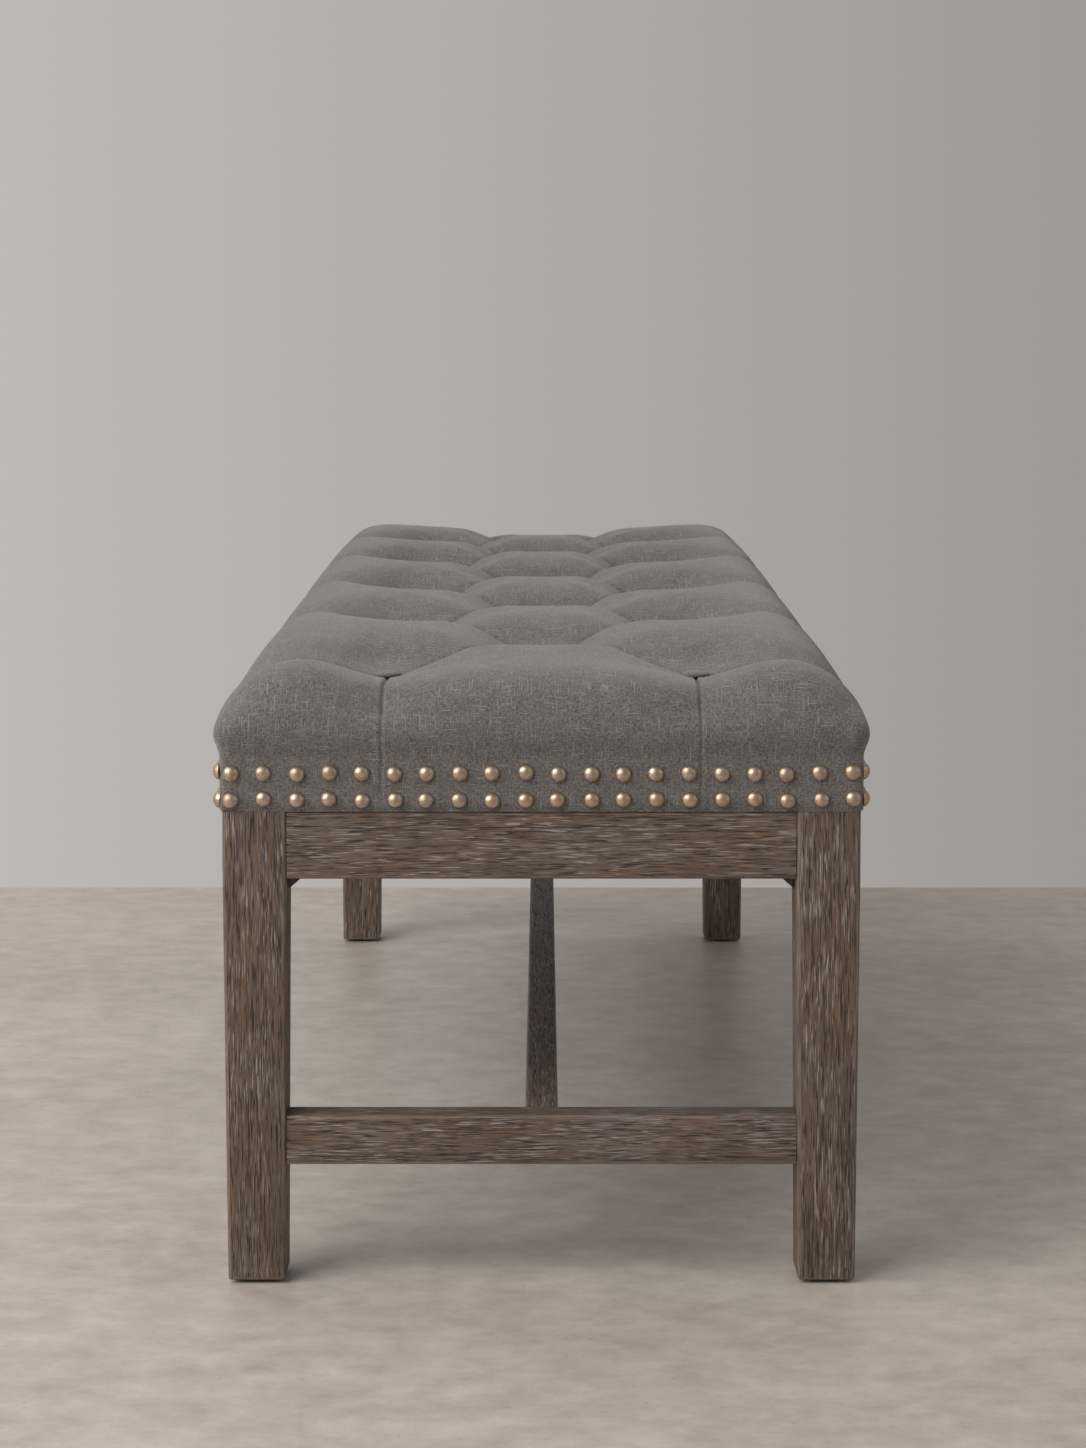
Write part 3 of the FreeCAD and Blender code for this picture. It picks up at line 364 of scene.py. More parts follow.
# Glides and seat screws
# Brown nylon discs nailed under the feet, and zinc-plated screws through the corner braces.
def plain(name, low, high, roughness, metallic, scale):
    """A worked surface: two tones of one colour, and the same mottling in its gloss."""
    material = bpy.data.materials.new(name)
    material.use_nodes = True
    nodes = material.node_tree.nodes
    links = material.node_tree.links
    shader = nodes["Principled BSDF"]
    place = nodes.new("ShaderNodeTexCoord")
    mottle = nodes.new("ShaderNodeTexNoise")
    mottle.inputs["Scale"].default_value = scale
    mottle.inputs["Detail"].default_value = 4
    links.new(place.outputs["Object"], mottle.inputs["Vector"])
    mix = nodes.new("ShaderNodeMix")
    mix.data_type = "RGBA"
    mix.inputs[6].default_value = (*low, 1)
    mix.inputs[7].default_value = (*high, 1)
    links.new(mottle.outputs["Fac"], mix.inputs["Factor"])
    links.new(mix.outputs[2], shader.inputs["Base Color"])
    gloss = nodes.new("ShaderNodeMapRange")
    gloss.inputs["To Min"].default_value = roughness - 0.08
    gloss.inputs["To Max"].default_value = roughness + 0.10
    links.new(mottle.outputs["Fac"], gloss.inputs["Value"])
    links.new(gloss.outputs["Result"], shader.inputs["Roughness"])
    shader.inputs["Metallic"].default_value = metallic
    bump = nodes.new("ShaderNodeBump")
    bump.inputs["Strength"].default_value = 0.2
    bump.inputs["Distance"].default_value = 0.0003
    links.new(mottle.outputs["Fac"], bump.inputs["Height"])
    links.new(bump.outputs["Normal"], shader.inputs["Normal"])
    return material


dress("foot_glides", plain("brown_nylon", (0.035, 0.026, 0.020), (0.055, 0.042, 0.034), 0.55, 0, 400))
dress("seat_screws", plain("zinc_plate", (0.45, 0.45, 0.43), (0.60, 0.60, 0.58), 0.35, 1, 600))


# Tufted cover
# Grey linen over wadding and foam. Seventeen buttons on twine pull it down to the deck; between them
# the spare cloth is folded into pleats, and at the ends two pleats run on as sewn folds to the band.
BAND_FOOT = 0.346
BAND_TOP = 0.3866
BUTTON_Z = 0.4370
SKIN_X = 0.2319
SKIN_Y = 0.6619
TUFT_X = 0.115
TUFT_Y = 0.570
ROW_STEP = 0.228
ROWS = [-TUFT_Y + ROW_STEP * k for k in range(6)]
MIDDLE = [y + ROW_STEP / 2 for y in ROWS[:-1]]
TUFTS = [(s * TUFT_X, y) for y in ROWS for s in (-1, 1)] + [(0.0, y) for y in MIDDLE]
DIAMONDS = []
for y in MIDDLE:
    for s in (-1, 1):
        DIAMONDS += [((0.0, y), (s * TUFT_X, y - ROW_STEP / 2)), ((0.0, y), (s * TUFT_X, y + ROW_STEP / 2))]
SIDE_PLEATS = [((s * TUFT_X, y), (s * 0.25, y)) for y in ROWS for s in (-1, 1)]
END_PLEATS = [((s * TUFT_X, e * TUFT_Y), (s * TUFT_X, e * 0.69)) for e in (-1, 1) for s in (-1, 1)]


def read_points(mesh):
    points = np.empty(len(mesh.vertices) * 3)
    mesh.vertices.foreach_get("co", points)
    return points.reshape(-1, 3)


def read_normals(mesh):
    normals = np.empty(len(mesh.vertices) * 3)
    mesh.vertices.foreach_get("normal", normals)
    return normals.reshape(-1, 3)


def write_points(mesh, points):
    mesh.vertices.foreach_set("co", points.ravel())
    mesh.update()


def to_segment(points, segment):
    """Plan distance to a pleat, and how far along it the nearest place is."""
    start = np.array(segment[0])
    run = np.array(segment[1]) - start
    along = np.clip(((points[:, :2] - start) @ run) / (run @ run), 0, 1)
    away = points[:, :2] - start - along[:, None] * run
    return np.hypot(away[:, 0], away[:, 1]), along


def nearest(points, segments):
    best = np.full(len(points), 9.0)
    for segment in segments:
        best = np.minimum(best, to_segment(points, segment)[0])
    return best


def to_tuft(points):
    best = np.full(len(points), 9.0)
    for x, y in TUFTS:
        best = np.minimum(best, np.hypot(points[:, 0] - x, points[:, 1] - y))
    return best


def ease(value, low, high):
    """From 0 at low to 1 at high, smoothly."""
    share = np.clip((value - low) / (high - low), 0, 1)
    return share * share * (3 - 2 * share)


def cushion_block():
    """A box remeshed to even squares, then rounded over its shoulders and drawn in to its band."""
    foot_z = 0.400
    top_z = 0.446
    swell = 0.005
    radius = 0.063
    voxel = 0.0058
    end_rise = 0.013
    far_rise = 0.022
    middle_rise = 0.002
    side_rise = 0.0035
    bm = bmesh.new()
    bmesh.ops.create_cube(bm, size=1)
    bmesh.ops.scale(bm, vec=(2 * (SKIN_X + swell), 2 * (SKIN_Y + swell), top_z - BAND_FOOT), verts=bm.verts)
    bmesh.ops.translate(bm, vec=(0, 0, (BAND_FOOT + top_z) / 2), verts=bm.verts)
    mesh = bpy.data.meshes.new("cover_block")
    bm.to_mesh(mesh)
    bm.free()
    block = bpy.data.objects.new("cover_block", mesh)
    bpy.context.collection.objects.link(block)
    remesh = block.modifiers.new("squares", "REMESH")
    remesh.mode = "VOXEL"
    remesh.voxel_size = voxel
    bake(block)
    mesh = block.data
    points = read_points(mesh)
    x, y, z = points.T.copy()
    a = np.clip((np.abs(x) - (SKIN_X + swell - radius)) / radius, 0, 1)
    b = np.clip((np.abs(y) - (SKIN_Y + swell - radius)) / radius, 0, 1)
    c = np.clip((z - foot_z) / (top_z - foot_z), 0, 1)
    sharp = 3 + 31 * (1 - c) ** 6
    lateral = (a ** sharp + b ** sharp) ** (1 / sharp)
    total = (lateral ** 2.2 + c ** 2.2) ** (1 / 2.2)
    shrink = np.maximum(np.where(c > 0, total, lateral), 1)
    drawn = swell * ease(-z, -foot_z, -BAND_TOP)
    new_x = np.abs(x) - a * radius + a * radius / shrink - drawn * a ** 4
    new_y = np.abs(y) - b * radius + b * radius / shrink - drawn * b ** 4
    new_z = np.where(c > 0, foot_z + c * (top_z - foot_z) / shrink, z)
    # The seat is lowest at its ends and, as the photo shows it, fullest in its far half.
    rise = ease(-new_y, -0.640, np.where(y < 0, -0.440, -0.490))
    dome = np.clip(1 - (new_x / 0.205) ** 2, 0, 1)
    crown = 0.002 + end_rise * rise + middle_rise * dome * (2 * rise - 1)
    crown += far_rise * rise * ease(np.sign(y) * new_y, -0.60, 0.35)
    crown += side_rise * np.exp(-((new_x - 0.163) / 0.048) ** 2)
    new_z += crown * ease(new_z, 0.425, top_z)
    write_points(mesh, np.stack([np.sign(x) * new_x, np.sign(y) * new_y, new_z], axis=1))
    return block


def bake(piece):
    """Apply every modifier on a piece."""
    graph = bpy.context.evaluated_depsgraph_get()
    fresh = bpy.data.meshes.new_from_object(piece.evaluated_get(graph))
    piece.modifiers.clear()
    piece.data = fresh


def tuft_pull(points):
    """How strongly the nearest tuft draws the cloth down: 1 at a button, 0 at a pillow's crown."""
    rng = random.Random(11)
    pull = np.zeros(len(points))
    for x, y in TUFTS:
        wide = rng.uniform(0.95, 1.06)
        across = points[:, 0] - x
        outward = across * math.copysign(1, x) > 0
        across = np.where(outward & (x != 0), across * 1.4, across)
        away = np.sqrt(across ** 2 + (points[:, 1] - y) ** 2 + 0.004 ** 2)
        bowl = 0.5 + 0.5 * np.cos(np.pi * np.clip(away / (0.097 * wide), 0, 1))
        cone = 1 - np.sin(0.5 * np.pi * np.clip(away / 0.116, 0, 1))
        pull = np.maximum(pull, 0.78 * bowl + 0.22 * cone)
    return pull


def press(piece):
    """Press the tufts and the pleats into the block, along its own surface."""
    mesh = piece.data
    points = read_points(mesh)
    normals = read_normals(mesh)
    top = ease(normals[:, 2], 0.05, 0.65)
    depth = (points[:, 2] - BUTTON_Z) * tuft_pull(points) * top
    pleat = np.zeros(len(points))
    pleats = ((DIAMONDS, 0.0070, 0.040), (SIDE_PLEATS, 0.0085, 0.046), (END_PLEATS, 0.0120, 0.058))
    for segments, deep, wide in pleats:
        for segment in segments:
            away, along = to_segment(points, segment)
            pleat = np.maximum(pleat, deep * np.clip(1 - away / wide, 0, 1) ** 1.6)
    depth += pleat * (0.15 + 0.85 * top) * (1 - 0.7 * tuft_pull(points))
    points -= normals * (depth * ease(points[:, 2], 0.396, 0.425))[:, None]
    write_points(mesh, points)


def inflate(piece):
    """Blow the cloth up between its pinned band, pleats and tufts."""
    firm = 1.0
    half_firm = 0.55
    frames = 20
    mesh = piece.data
    before = read_points(mesh)
    pins = piece.vertex_groups.new(name="held")
    tuft = to_tuft(before)
    folds = nearest(before, DIAMONDS + SIDE_PLEATS + END_PLEATS)
    high = before[:, 2] > 0.40
    hold = np.where(before[:, 2] < 0.389, firm, 0.0)
    hold = np.maximum(hold, np.where((tuft < 0.013) & high, firm, 0.0))
    hold = np.maximum(hold, np.where((folds < 0.004) & high, half_firm, 0.0))
    for level in (firm, half_firm):
        chosen = np.nonzero(hold == level)[0].tolist()
        pins.add(chosen, level, "REPLACE")
    cloth = piece.modifiers.new("linen", "CLOTH")
    settings = cloth.settings
    settings.quality = 5
    settings.mass = 0.3
    settings.tension_stiffness = 20
    settings.compression_stiffness = 20
    settings.shear_stiffness = 8
    settings.bending_stiffness = 1.2
    settings.use_pressure = True
    settings.uniform_pressure_force = 4
    settings.vertex_group_mass = "held"
    settings.effector_weights.gravity = 0
    cloth.collision_settings.use_self_collision = False
    cloth.collision_settings.use_collision = False
    scene = bpy.context.scene
    for step in range(1, frames + 1):
        scene.frame_set(step)
    graph = bpy.context.evaluated_depsgraph_get()
    blown = bpy.data.meshes.new_from_object(piece.evaluated_get(graph))
    piece.modifiers.clear()
    after = read_points(blown)
    move = after - before
    far = np.linalg.norm(move, axis=1)
    # The cloth may move by no more than this: little at a tuft, more on a pillow.
    cap = 0.001 + 0.006 * ease(tuft, 0.03, 0.10)
    move *= (np.minimum(far, cap) / np.maximum(far, 1e-9))[:, None]
    scene.frame_set(1)
    write_points(mesh, before + move)


cover = cushion_block()
press(cover)
inflate(cover)


def open_below(piece):
    """Take the underside away: there the cover turns under as a hem."""
    bm = bmesh.new()
    bm.from_mesh(piece.data)
    under = [f for f in bm.faces if f.calc_center_median().z < 0.3475 and f.normal.z < -0.5]
    bmesh.ops.delete(bm, geom=under, context="FACES")
    bm.to_mesh(piece.data)
    bm.free()


open_below(cover)
finer = cover.modifiers.new("finer", "SUBSURF")
finer.levels = finer.render_levels = 1
bake(cover)


def cut_line(bm, start, finish, across, high):
    """Cut an exact edge into the cover along a pleat, so that its fold is crisp."""
    start = Vector((*start, 0))
    finish = Vector((*finish, 0))
    run = (finish - start).normalized()
    side = Vector((-run.y, run.x, 0))
    middle = (start + finish) / 2
    reach = (finish - start).length / 2 + 0.004
    faces = []
    for face in bm.faces:
        spot = face.calc_center_median()
        if spot.z < high:
            continue
        offset = Vector((spot.x - middle.x, spot.y - middle.y, 0))
        if abs(offset.dot(side)) < 0.009 and abs(offset.dot(run)) < reach:
            faces.append(face)
    edges = list({edge for face in faces for edge in face.edges})
    verts = list({vert for face in faces for vert in face.verts})
    for shift in across:
        result = bmesh.ops.bisect_plane(bm, geom=verts + edges + faces, plane_co=start + side * shift,
                                        plane_no=side, dist=0.0002)
        faces = [g for g in result["geom"] if isinstance(g, bmesh.types.BMFace)]
        edges = [g for g in result["geom"] if isinstance(g, bmesh.types.BMEdge)]
        verts = [g for g in result["geom"] if isinstance(g, bmesh.types.BMVert)]


def sew(piece):
    """Crease every pleat, lay the end folds down to the band, and square the band's corners."""
    bm = bmesh.new()
    bm.from_mesh(piece.data)
    for start, finish in DIAMONDS + SIDE_PLEATS:
        cut_line(bm, start, finish, (-0.0012, 0, 0.0012), 0.40)
    for start, finish in END_PLEATS:
        cut_line(bm, start, finish, (-0.0038, -0.0028, -0.0008, 0, 0.0008, 0.0028, 0.0038), 0.34)
    bm.to_mesh(piece.data)
    bm.free()
    mesh = piece.data
    points = read_points(mesh)
    normals = read_normals(mesh)
    normals[:, 2] *= ease(points[:, 2], 0.352, 0.372)
    high = ease(points[:, 2], 0.400, 0.425)
    sink = 0.0018 * np.clip(1 - nearest(points, DIAMONDS + SIDE_PLEATS) / 0.0030, 0, 1) * high
    seam = nearest(points, END_PLEATS)
    outer = np.abs(points[:, 0]) > TUFT_X
    tuck = np.where(outer, 0.0007, 0.0002) * ease(-seam, -0.0036, -0.0022)
    sink = np.maximum(sink, (0.0009 + 0.0013 * high) * np.clip(1 - seam / 0.0020, 0, 1))
    sink *= ease(points[:, 2], 0.3500, 0.3560)
    points += normals * (np.where(sink > 0, 0, tuck) - sink)[:, None]
    band = ease(-points[:, 2], -0.400, -0.391)
    fold = 0.005
    start = (SKIN_X - fold, SKIN_Y - fold)
    corner = np.abs(points[:, :2]) - start
    reach = np.hypot(corner[:, 0], corner[:, 1])
    inside = (corner > 0).all(axis=1)
    square = corner * (fold / np.maximum(reach, 1e-6))[:, None] + start
    share = (band * inside)[:, None]
    points[:, :2] = np.sign(points[:, :2]) * (np.abs(points[:, :2]) * (1 - share) + square * share)
    write_points(mesh, points)


sew(cover)
cover.name = "linen_cover"
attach(cover, "root")
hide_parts("tufted_cover")


def linen_group():
    """Plain woven linen: two directions of thread, thick slubs here and there, and soft fuzz."""
    group = bpy.data.node_groups.new("linen_weave", "ShaderNodeTree")
    socket(group, "Vector", "NodeSocketVector")
    socket(group, "Facing", "NodeSocketVector")
    socket(group, "Tone", "NodeSocketFloat", out=True)
    socket(group, "Slubs", "NodeSocketFloat", out=True)
    socket(group, "Height", "NodeSocketFloat", out=True)
    nodes = group.nodes
    links = group.links
    entry = nodes.new("NodeGroupInput")
    leave = nodes.new("NodeGroupOutput")

    def math_node(operation, a, b=None, c=None):
        node = nodes.new("ShaderNodeMath")
        node.operation = operation
        for index, value in enumerate((a, b, c)):
            if value is None:
                continue
            if isinstance(value, (int, float)):
                node.inputs[index].default_value = value
            else:
                links.new(value, node.inputs[index])
        return node.outputs["Value"]

    place = nodes.new("ShaderNodeSeparateXYZ")
    links.new(entry.outputs["Vector"], place.inputs["Vector"])
    facing = nodes.new("ShaderNodeSeparateXYZ")
    links.new(entry.outputs["Facing"], facing.inputs["Vector"])
    wobble = nodes.new("ShaderNodeTexNoise")
    wobble.inputs["Scale"].default_value = 90
    links.new(entry.outputs["Vector"], wobble.inputs["Vector"])
    jitter = math_node("MULTIPLY_ADD", wobble.outputs["Fac"], 0.30, -0.15)
    sideways = math_node("ADD", math_node("ABSOLUTE", facing.outputs["X"]), jitter)
    is_side = math_node("GREATER_THAN", sideways, 0.70)
    endways = math_node("ADD", math_node("ABSOLUTE", facing.outputs["Y"]), jitter)
    is_end = math_node("GREATER_THAN", endways, 0.70)

    def choose(factor, a, b):
        node = nodes.new("ShaderNodeMix")
        links.new(factor, node.inputs["Factor"])
        links.new(a, node.inputs[2])
        links.new(b, node.inputs[3])
        return node.outputs[0]

    warp = choose(is_side, place.outputs["X"], place.outputs["Z"])
    weft = choose(is_end, place.outputs["Y"], place.outputs["Z"])

    def threads(a, b, fine, long, detail):
        join = nodes.new("ShaderNodeCombineXYZ")
        links.new(math_node("MULTIPLY", a, fine), join.inputs["X"])
        links.new(math_node("MULTIPLY", b, long), join.inputs["Y"])
        tex = nodes.new("ShaderNodeTexNoise")
        tex.noise_dimensions = "2D"
        tex.inputs["Scale"].default_value = 1
        tex.inputs["Detail"].default_value = detail
        tex.inputs["Roughness"].default_value = 0.6
        links.new(join.outputs["Vector"], tex.inputs["Vector"])
        return tex.outputs["Fac"]

    def step(value, low, high):
        node = nodes.new("ShaderNodeMapRange")
        node.interpolation_type = "SMOOTHSTEP"
        node.inputs["From Min"].default_value = low
        node.inputs["From Max"].default_value = high
        links.new(value, node.inputs["Value"])
        return node.outputs["Result"]

    along = threads(warp, weft, 1100, 380, 1)
    across = threads(weft, warp, 1100, 380, 1)
    cloth = math_node("ADD", along, across)
    slub_a = step(threads(warp, weft, 1050, 55, 1), 0.66, 0.75)
    slub_b = step(threads(weft, warp, 1050, 55, 1), 0.66, 0.75)
    slubs = math_node("MAXIMUM", slub_a, slub_b)
    cloud = nodes.new("ShaderNodeTexNoise")
    cloud.inputs["Scale"].default_value = 110
    cloud.inputs["Detail"].default_value = 5
    links.new(entry.outputs["Vector"], cloud.inputs["Vector"])
    tone = math_node("MULTIPLY_ADD", cloud.outputs["Fac"], 0.32, math_node("MULTIPLY", cloth, 0.60))
    links.new(step(tone, 0.53, 0.99), leave.inputs["Tone"])
    links.new(slubs, leave.inputs["Slubs"])
    links.new(math_node("MULTIPLY_ADD", slubs, 0.5, cloth), leave.inputs["Height"])
    return group


linen_weave = linen_group()


def linen(name, dark, light, slub):
    material = bpy.data.materials.new(name)
    material.use_nodes = True
    nodes = material.node_tree.nodes
    links = material.node_tree.links
    shader = nodes["Principled BSDF"]
    place = nodes.new("ShaderNodeTexCoord")
    weave = nodes.new("ShaderNodeGroup")
    weave.node_tree = linen_weave
    links.new(place.outputs["Object"], weave.inputs["Vector"])
    links.new(place.outputs["Normal"], weave.inputs["Facing"])
    mix = nodes.new("ShaderNodeMix")
    mix.data_type = "RGBA"
    mix.inputs[6].default_value = (*dark, 1)
    mix.inputs[7].default_value = (*light, 1)
    links.new(weave.outputs["Tone"], mix.inputs["Factor"])
    threads = nodes.new("ShaderNodeMix")
    threads.data_type = "RGBA"
    threads.inputs[7].default_value = (*slub, 1)
    links.new(weave.outputs["Slubs"], threads.inputs["Factor"])
    links.new(mix.outputs[2], threads.inputs[6])
    links.new(threads.outputs[2], shader.inputs["Base Color"])
    shader.inputs["Roughness"].default_value = 0.92
    shader.inputs["Specular IOR Level"].default_value = 0.25
    shader.inputs["Sheen Weight"].default_value = 0.45
    shader.inputs["Sheen Roughness"].default_value = 0.5
    shader.inputs["Sheen Tint"].default_value = (0.80, 0.77, 0.74, 1)
    bump = nodes.new("ShaderNodeBump")
    bump.inputs["Strength"].default_value = 0.5
    bump.inputs["Distance"].default_value = 0.0009
    links.new(weave.outputs["Height"], bump.inputs["Height"])
    links.new(bump.outputs["Normal"], shader.inputs["Normal"])
    return material


linen_cloth = linen("grey_linen", (0.090, 0.083, 0.079), (0.207, 0.191, 0.183), (0.272, 0.256, 0.247))
cover.data.materials.clear()
cover.data.materials.append(linen_cloth)
smooth(cover, 180)


# Hem
# The cover's edge, turned under the seat frame and stapled there in a flat strip.
HEM_FOOT = 0.3462
HEM_INSET = 0.0017
HEM_WIDTH = 0.0248
HEM_THICKNESS = 0.0013


def hem():
    bm = bmesh.new()
    bmesh.ops.create_grid(bm, x_segments=1, y_segments=1, size=1)
    bmesh.ops.scale(bm, vec=(SKIN_X - HEM_INSET, SKIN_Y - HEM_INSET, 1), verts=bm.verts)
    bmesh.ops.translate(bm, vec=(0, 0, HEM_FOOT), verts=bm.verts)
    rim = bmesh.ops.inset_region(bm, faces=bm.faces[:], thickness=HEM_WIDTH, use_boundary=True,
                                 use_even_offset=True)
    middle = [f for f in bm.faces if f not in rim["faces"]]
    bmesh.ops.delete(bm, geom=middle, context="FACES")
    upper = bmesh.ops.extrude_face_region(bm, geom=bm.faces[:], use_keep_orig=True)
    raised = [g for g in upper["geom"] if isinstance(g, bmesh.types.BMVert)]
    bmesh.ops.translate(bm, vec=(0, 0, HEM_THICKNESS), verts=raised)
    bmesh.ops.recalc_face_normals(bm, faces=bm.faces[:])
    piece = piece_from(bm, "linen_hem", linen_cloth)


hem()


# Dust cloth and twine
# A thin black cloth closes the seat from below; waxed twine runs from each button to its toggle.
def dust_cloth():
    """A thin cloth stapled tight inside the hem; it hangs by a hair between its edges."""
    half_width = 0.2047
    half_length = 0.6347
    screw = (0.1459, 0.6280)
    slit = 0.0030
    bm = bmesh.new()
    bmesh.ops.create_grid(bm, x_segments=16, y_segments=48, size=1)
    bmesh.ops.scale(bm, vec=(half_width, half_length, 1), verts=bm.verts)
    for axis in (0, 1):
        for side in (-1, 1):
            for edge in (-slit, slit):
                place = Vector((0, 0, 0))
                place[axis] = side * screw[axis] + edge
                facing = Vector((0, 0, 0))
                facing[axis] = 1
                bmesh.ops.bisect_plane(bm, geom=bm.verts[:] + bm.edges[:] + bm.faces[:], plane_co=place,
                                       plane_no=facing, dist=0.00001)
    pierced = []
    for face in bm.faces:
        spot = face.calc_center_median()
        if abs(abs(spot.x) - screw[0]) < slit and abs(abs(spot.y) - screw[1]) < slit:
            pierced.append(face)
    bmesh.ops.delete(bm, geom=pierced, context="FACES")
    for vert in bm.verts:
        slack = (1 - (vert.co.x / half_width) ** 2) * (1 - (vert.co.y / half_length) ** 8)
        vert.co.z = 0.3474 - 0.0030 * slack + 0.0004 * slack * noise.noise(vert.co * 14)
    bmesh.ops.recalc_face_normals(bm, faces=bm.faces[:])
    black = plain("black_dust_cloth", (0.012, 0.012, 0.012), (0.028, 0.028, 0.028), 0.85, 0, 900)
    piece = piece_from(bm, "black_dust_cloth", black)
    smooth(piece, 180)
    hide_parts("dust_cloth")


dust_cloth()
dress("tufting_twine", plain("waxed_twine", (0.50, 0.44, 0.34), (0.62, 0.56, 0.46), 0.6, 0, 900))
dress("foam_slab", plain("cushion_foam", (0.70, 0.64, 0.45), (0.78, 0.72, 0.54), 0.9, 0, 500))


# Tuft buttons
# Small moulds covered in the same linen, sunk at the bottom of each tuft.
BUTTON_RADIUS = 0.0105
BUTTON_DOME = 0.28
BUTTON_SINK = 0.0012


def buttons():
    bm = bmesh.new()
    for x, y in TUFTS:
        made = bmesh.ops.create_uvsphere(bm, u_segments=20, v_segments=10, radius=BUTTON_RADIUS)
        verts = made["verts"]
        bmesh.ops.scale(bm, vec=(1, 1, BUTTON_DOME), verts=verts)
        bmesh.ops.translate(bm, vec=(x, y, BUTTON_Z - BUTTON_SINK), verts=verts)
    piece = piece_from(bm, "linen_buttons", linen_cloth)
    smooth(piece, 180)
    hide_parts("tuft_buttons")


buttons()


# Upholstery nails
# Solid domed heads in aged brass, set by hand in two rows round the band, so that none sits quite
# square to its neighbour.
def antique_brass():
    material = bpy.data.materials.new("antique_brass")
    material.use_nodes = True
    nodes = material.node_tree.nodes
    links = material.node_tree.links
    shader = nodes["Principled BSDF"]
    place = nodes.new("ShaderNodeTexCoord")
    tarnish = nodes.new("ShaderNodeTexNoise")
    tarnish.inputs["Scale"].default_value = 260
    tarnish.inputs["Detail"].default_value = 5
    links.new(place.outputs["Object"], tarnish.inputs["Vector"])
    cut = nodes.new("ShaderNodeMapRange")
    cut.inputs["From Min"].default_value = 0.38
    cut.inputs["From Max"].default_value = 0.66
    links.new(tarnish.outputs["Fac"], cut.inputs["Value"])
    mix = nodes.new("ShaderNodeMix")
    mix.data_type = "RGBA"
    mix.inputs[6].default_value = (0.59, 0.475, 0.370, 1)
    mix.inputs[7].default_value = (0.42, 0.325, 0.240, 1)
    links.new(cut.outputs["Result"], mix.inputs["Factor"])
    links.new(mix.outputs[2], shader.inputs["Base Color"])
    gloss = nodes.new("ShaderNodeMapRange")
    gloss.inputs["To Min"].default_value = 0.36
    gloss.inputs["To Max"].default_value = 0.50
    links.new(cut.outputs["Result"], gloss.inputs["Value"])
    links.new(gloss.outputs["Result"], shader.inputs["Roughness"])
    shader.inputs["Metallic"].default_value = 1
    return material


brass = antique_brass()
NAIL_ROWS = (0.355, 0.3743)
NAIL_RADIUS = 0.0062
NAIL_DOME = 0.78
NAIL_TILT = 0.09
NAIL_INSET = 0.008


def nail_row(node, count, reach, turn, face, seed):
    """Two rows of domes on one side; turn brings -Y to that side's outward direction."""
    rng = random.Random(seed)
    bm = bmesh.new()
    for level in NAIL_ROWS:
        for k in range(count):
            made = bmesh.ops.create_uvsphere(bm, u_segments=14, v_segments=8, radius=NAIL_RADIUS)
            verts = made["verts"]
            back = [v for v in verts if v.co.z < -0.0001]
            bmesh.ops.delete(bm, geom=back, context="VERTS")
            verts = [v for v in verts if v.is_valid]
            bmesh.ops.scale(bm, vec=(1, 1, NAIL_DOME), verts=verts)
            tilt = Matrix.Rotation(rng.uniform(-NAIL_TILT, NAIL_TILT), 3, "X")
            tilt = tilt @ Matrix.Rotation(rng.uniform(-NAIL_TILT, NAIL_TILT), 3, "Y")
            bmesh.ops.rotate(bm, cent=(0, 0, 0), matrix=tilt, verts=verts)
            upright = Matrix.Rotation(math.radians(90), 3, "X")
            bmesh.ops.rotate(bm, cent=(0, 0, 0), matrix=upright, verts=verts)
            along = -reach + 2 * reach * k / (count - 1) + rng.uniform(-0.0009, 0.0009)
            spot = Vector((along, -face - 0.0001, level + rng.uniform(-0.0008, 0.0008)))
            bmesh.ops.translate(bm, vec=spot, verts=verts)
            bmesh.ops.rotate(bm, cent=(0, 0, 0), matrix=Matrix.Rotation(turn, 3, "Z"), verts=verts)
    piece = piece_from(bm, "brass_" + node, brass)
    smooth(piece, 180)
    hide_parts(node)


nail_row("nails_near_end", 20, SKIN_X - NAIL_INSET, 0, SKIN_Y, 1)
nail_row("nails_far_end", 20, SKIN_X - NAIL_INSET, math.pi, SKIN_Y, 2)
nail_row("nails_right_side", 56, SKIN_Y - NAIL_INSET, math.pi / 2, SKIN_X, 3)
nail_row("nails_left_side", 56, SKIN_Y - NAIL_INSET, -math.pi / 2, SKIN_X, 4)


# Floor and light
# A plain pale floor of sealed plaster; a wall behind it, seen from the front only, that glows with painted
# light, paler at its left as the window would light it; and broad soft light from the left front, with a
# little from above and behind.
def staged(name, bm, material):
    mesh = bpy.data.meshes.new(name)
    bm.to_mesh(mesh)
    bm.free()
    mesh.materials.append(material)
    piece = bpy.data.objects.new(name, mesh)
    bpy.context.collection.objects.link(piece)


